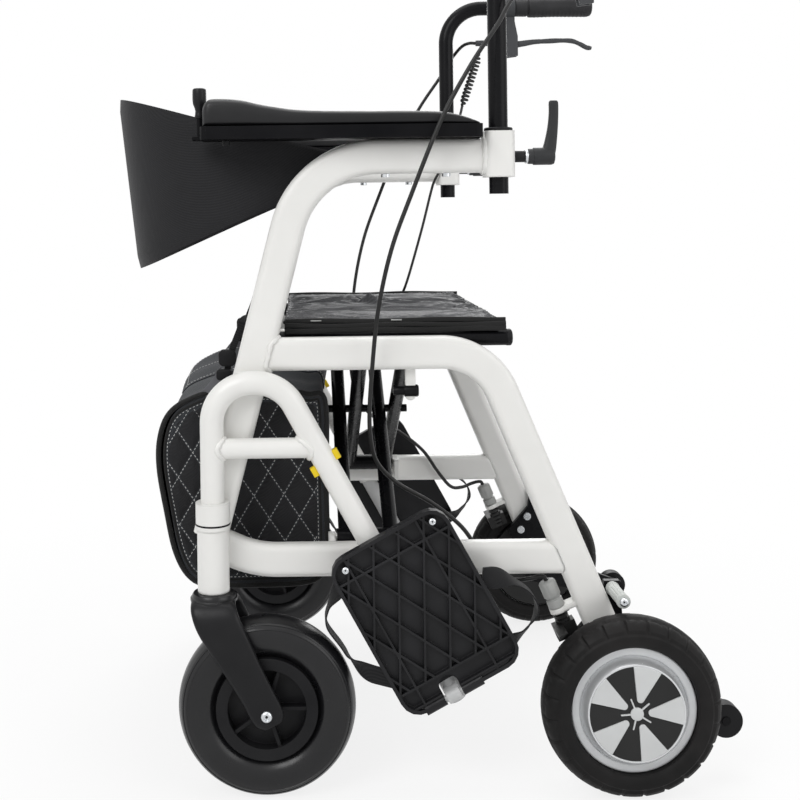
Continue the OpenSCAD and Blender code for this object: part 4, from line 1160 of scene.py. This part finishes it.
LEVER_WIDE, LEVER_NARROWS, FINGERS, SCALLOP, SCALLOPED = 8.6, 1.4, 5, 0.5, (0.3, 0.85)
CLAMP_Z, CLAMP_FLAT = 715, 0.8
CLAMP_RINGS = (
    (((3.9, 121), (6, 121), (6.6, 121.8), (6.6, 133), (6, 134), (3.9, 134)), moulded, 40),
    (((3.9, 134), (7.6, 134), (8, 134.6), (8, 136.4), (7.6, 137), (3.9, 137)), steel, 40),
    (((ON_AXIS, 117), (4, 117), (4, 139), (ON_AXIS, 139)), steel, 32),
    (((ON_AXIS, 137), (8.2, 137), (8.8, 138), (8.8, 143), (9.9, 143.6), (10, 144.4), (10, 164), (9, 167),
      (6, 168), (ON_AXIS, 168)), lever_black, 48))
# x, height over the hub's axis, width
CLAMP_ARM = ((159, -3, 16), (161.5, 6, 15.5), (164, 18, 13.5), (166.4, 34, 11.5), (167.6, 50, 10.6),
    (167.6, 61, 10.4), (167.4, 64, 8))


def handle_grip(side, sign):
    """Soft grip with a ring section, a waist, and a raised palm rest along its top."""
    rings = []
    for i in range(GRIP_RINGS + 1):
        along = GRIP_L * i / GRIP_RINGS
        palm = share((along - PALM_FROM) / PALM_EASE_IN) * share((PALM_TO - along) / PALM_EASE_OUT)
        ribs = RIB_RISE * max(0, sin(along * tau / RIB_PITCH)) if RIB_FROM < along < RIB_TO else 0
        ring = []
        for j in range(GRIP_RING):
            c = cos(tau * j / GRIP_RING)
            s = sin(tau * j / GRIP_RING)
            rise = PALM_RISE * palm * share((s - PALM_SIDE) / PALM_SOFT) + ribs * max(0, -s)
            r = value_at(GRIP_RADII, along) + rise - GRIP_TIGHT
            ring.append(place(sign, (GRIP_X + along, FRAME_OUT + r * c, GRIP_Z + r * s)))
        rings.append(ring)
    piece(f"{side}_handle_grip", [loft(rings, grip_rubber, sharp=40)], f"{side}_handle")


def brake_lever(side, sign):
    """Finger lever: scalloped below, dipping to a rounded tip."""
    def section(t):
        scallop = SCALLOP * cos(t * tau * FINGERS) if SCALLOPED[0] < t < SCALLOPED[1] else 0
        return oval(LEVER_WIDE - LEVER_NARROWS * t, value_at(LEVER_THICK, t) + scallop, 16, 2.8)

    path = spline([place(sign, (x, FRAME_OUT, z)) for x, z in LEVER_LINE], 10)
    parts = [swept(path, section, Y_AXIS, dark_plastic, sharp=60),
             lathe(LEVER_BOSS, (LEVER_X, sign * FRAME_OUT, LEVER_Z), Y_AXIS, dark_plastic, 40)]
    piece(f"{side}_brake_lever", parts, f"{side}_brake_lever")


def clamp_lever(side, sign):
    """Cranked clamping lever: a stepped hub and a tapered arm that stands up from its end."""
    parts = [lathe(profile, (0, sign * FRAME_OUT, CLAMP_Z), X_AXIS, *look) for profile, *look in CLAMP_RINGS]
    rings = []
    for x, up, width in spline(CLAMP_ARM, 6):
        section = oval(width, width * CLAMP_FLAT, 20, 4)
        rings.append([place(sign, (x + q[0], FRAME_OUT + q[1], CLAMP_Z + up)) for q in section])
    parts.append(loft(rings, lever_black, sharp=50))
    piece(f"{side}_clamp_lever", parts, f"{side}_clamp_lever")


# Small fittings
BRAKE_TOP = (152, 226)
BRAKE_LEAN = radians(22.4)
BARREL_FLUTES = (10, 0.6, 2, 19, 0)
BARREL = ((2.6, -0.2), (6, -0.2), (9, 1.2), (10, 2.6), (10, 18), (9, 19.2), (7.6, 20), (7.6, 22), (9.4, 23),
    (9.6, 31), (6, 31.9), (6, 37.5), (2.6, 37.5))
PEG_X, PEG_Z, PEG_IN, PEG_L = 231, 213, 223.5, 50
PEG = ((2, 0), (6.5, 0), (7.8, 1), (8, 2.2), (8, 5), (7.2, 6), (7.5, 8), (7.5, PEG_L - 4), (8, PEG_L - 3),
    (7.9, PEG_L - 1), (6.5, PEG_L), (2, PEG_L))
PEG_FLUTES = (12, 0.7, 7, PEG_L - 3.5, pi / 2)
PEG_BOLT_R = 5


def fluted(count, deep, first, last, phase):
    """Warp that cuts round flutes between two places along a profile."""
    def warp(angle, r, y):
        return (r - deep * max(0, sin(count * angle + phase)) ** 2 if first < y < last else r), y
    return warp


def brake_barrel(side, sign):
    """Fluted adjuster barrel with a turned neck."""
    axis = (sin(BRAKE_LEAN), 0, -cos(BRAKE_LEAN))
    centre = (BRAKE_TOP[0], sign * FRAME_OUT, BRAKE_TOP[1])
    barrel = lathe(BARREL, centre, axis, zinc, 120, sharp=40, warp=fluted(*BARREL_FLUTES))
    piece(f"{side}_brake_barrel", [barrel], f"{side}_frame")


def step_peg(side, sign):
    """Fluted rubber sleeve on its peg, closed by a socket screw."""
    axis = (0, sign, 0)
    centre = (PEG_X, sign * PEG_IN, PEG_Z)
    peg = lathe(PEG, centre, axis, pale_rubber, 140, sharp=40, warp=fluted(*PEG_FLUTES))
    piece(f"{side}_step_peg", [peg], f"{side}_frame")
    bolt_at = (PEG_X, sign * (PEG_IN + PEG_L + 1), PEG_Z)
    bolt_head(f"{side}_peg_bolt", bolt_at, axis, PEG_BOLT_R, f"{side}_frame")


LEG_LEAN, STRUT_LEAN = radians(14.8), radians(28.6)
LEG_AT, STRUT_AT = (-162.5, 553.5), (-114.7, 396.7)
TUBE_HALF, TUBE_CORNER, TUBE_FLAT = 20, 9, 3.5
ARCH_OUT, ARCH_R = 261.3, 13.5
CROSS_Z, CROSS_R = 388, 11.8
RAIL_Z, RAIL_H, RAIL_W, RAIL_R = 491, 38, 23, 8
ARM_Z, ARM_END_X, ARM_W = 717, 86.4, 26
BEAD_W, BEAD_T, BEAD_STEP, BEAD_RIPPLES = 6.4, 5.6, 3, 13
RIPPLE_W, RIPPLE_T = 1.2, 0.6
LOCK_X, LOCK_Z, LOCK_OUT = -1, 457, 226
# Length, width, corner radius, thickness and bevel
LOCK_LUG = (44, 12, 5.6, 6, 1.2)
TAGS = ((361.5, -15.5), (381.5, 15.5))
TAG_HALF, TAG_PROUD, TAG_W, TAG_T = 5.5, 2, 9, 7
# Profile, place, axis, finish and steps of each turned piece of trim
TRIM = (
    # Bush on the handle's collar
    (((11.4, 0), (16, 0), (16.4, 0.8), (16.4, 3), (15.6, 4), (11.4, 4)), (103.6, FRAME_OUT, 744.5), Z_AXIS,
     moulded, 48),
    # Seam under the head tube's cap
    (((18, 0), (19.7, 0), (19.8, 0.4), (19.8, 1.6), (19.7, 2), (18, 2)), (STEM_X, ARCH_OUT, 303), Z_AXIS,
     moulded, 64),
    # Pin of the fold lock
    (((ON_AXIS, -22), (4.6, -22), (5.2, -21), (5.2, -9), (6.6, -9), (7, -8), (7, 6), (6, 7.4),
      (ON_AXIS, 7.4)), (LOCK_X + 2, LOCK_OUT + 3, LOCK_Z - 11), X_AXIS, black_paint, 32),
    # Sleeve on the armrest's hook
    (((3.9, 765), (5.4, 765), (6, 766.4), (5.3, 770), (5, 774), (6, 778), (7.7, 782), (8.2, 787), (8.2, 794),
      (8.1, 797.5), (7.7, 799.3), (6.4, 800.2), (ON_AXIS, 800.4)), (-242, 215, 0), Z_AXIS, fork_black, 40),
    # Bolt under the armrest's base
    (((ON_AXIS, 0), (4.6, 0), (4.6, 4.4), (3.6, 6.2), (ON_AXIS, 6.4)), (-209.6, PAD_OUT, 737), (0, 0, -1),
     moulded, 32))
TUBE_CAP = ((ON_AXIS, 2.4), (7.4, 2.4), (9.2, 1.4), (9.9, 0), (9.9, -4), (9.4, -4.4), (ON_AXIS, -4.4))
SEAT_TUBE_OUT, SEAT_TUBE_Z = 206, 504
SEAT_TUBE_ENDS = ((119, 1), (-150, -1))
PLATE_FACE, PLATE_SCREW_R = 289.2, 4.2
PLATE_SCREWS = ((-81, 257), (16, 310))


def leg_x(z):
    return LEG_AT[0] - (LEG_AT[1] - z) * tan(LEG_LEAN)


def strut_x(z):
    return STRUT_AT[0] + (STRUT_AT[1] - z) * tan(STRUT_LEAN)


def dense(points, step):
    """Closed outline with points no further apart than step."""
    out = []
    for p, q in zip(points, points[1:] + points[:1]):
        a, b = Vector(p), Vector(q)
        count = max(1, round((b - a).length / step))
        out += [a.lerp(b, k / count) for k in range(count)]
    return out


def weld_beads(side, sign):
    """Rippled beads where the cross tube, the seat rail and the arm tube meet the tubes that hold them."""
    on_stem, on_strut, on_leg, on_collar = [], [], [], []
    for dy, dz in oval(2 * CROSS_R, 2 * CROSS_R, 48):
        z = CROSS_Z + dz
        reach = sqrt(ARCH_R ** 2 - dy * dy)
        on_stem.append((STEM_X + reach, ARCH_OUT + dy, z))
        on_strut.append((strut_x(z) - reach / cos(STRUT_LEAN), ARCH_OUT + dy, z))
    for dz, dy in dense(oblong(RAIL_H + 1, RAIL_W + 1, RAIL_R), BEAD_STEP):
        past = max(0, abs(dy) - TUBE_FLAT)
        back = TUBE_HALF - TUBE_CORNER + sqrt(max(0, TUBE_CORNER ** 2 - past * past))
        on_leg.append((leg_x(RAIL_Z + dz) + back / cos(LEG_LEAN), FRAME_OUT + dy, RAIL_Z + dz))
    for dz, dy in dense(oblong(2 * TUBE_HALF + 1, ARM_W, TUBE_CORNER), BEAD_STEP):
        on_collar.append((ARM_END_X, FRAME_OUT + dy, ARM_Z + dz))

    def ripple(t):
        a = tau * t * BEAD_RIPPLES
        return oval(BEAD_W + RIPPLE_W * cos(a), BEAD_T + RIPPLE_T * sin(a), 8)

    parts = []
    for loop in (on_stem, on_strut, on_leg, on_collar):
        path = placed(sign, loop)
        parts.append(swept(path, ripple, X_AXIS, white_paint, closed=True))
    piece(f"{side}_weld_beads", parts, f"{side}_frame")


def frame_trim(side, sign):
    """Turned trim, the fold lock's lug, two yellow tags, the seat tubes' caps and the foot plate's screws."""
    parts = [lathe(profile, (x, sign * out, z), *look) for profile, (x, out, z), *look in TRIM]
    parts.append(slab(sign, (LOCK_X, LOCK_OUT, LOCK_Z), *LOCK_LUG, white_paint))
    for z, off in TAGS:
        x = strut_x(z) + off / cos(STRUT_LEAN)
        ends = [place(sign, (x + sin(STRUT_LEAN) * d, ARCH_OUT + TAG_PROUD, z - cos(STRUT_LEAN) * d))
                for d in (-TAG_HALF, 0, TAG_HALF)]
        parts.append(swept(ends, oval(TAG_W, TAG_T, 12, 4), Y_AXIS, yellow_plastic))
    piece(f"{side}_frame_trim", parts, f"{side}_frame")
    brace = "right_brace" if side == "left" else "left_brace"
    caps = [lathe(TUBE_CAP, (x, sign * SEAT_TUBE_OUT, SEAT_TUBE_Z), (way, 0, 0), moulded, 40)
            for x, way in SEAT_TUBE_ENDS]
    piece(f"{side}_seat_tube_caps", caps, brace)
    for k, (x, z) in enumerate(PLATE_SCREWS):
        at = (x, sign * PLATE_FACE, z)
        bolt_head(f"{side}_plate_screw_{k}", at, (0, sign, 0), PLATE_SCREW_R, f"{side}_foot_plate")


SIDE_PIECES = (brake_cable, armrest_pad, heel_strap, caster_tyre, caster_fork, rear_tyre, rear_rim,
    handle_grip, brake_lever, clamp_lever, brake_barrel, step_peg, weld_beads, frame_trim)


def main():
    finish_cad_nodes()
    make_camera()
    make_stage()
    make_lamps()
    control_cord()
    for side, sign in SIDES.items():
        for make in SIDE_PIECES:
            make(side, sign)
    seat_cushion()
    backrest_band()
    storage_bag()
    scene.view_settings.view_transform = "Standard"


main()
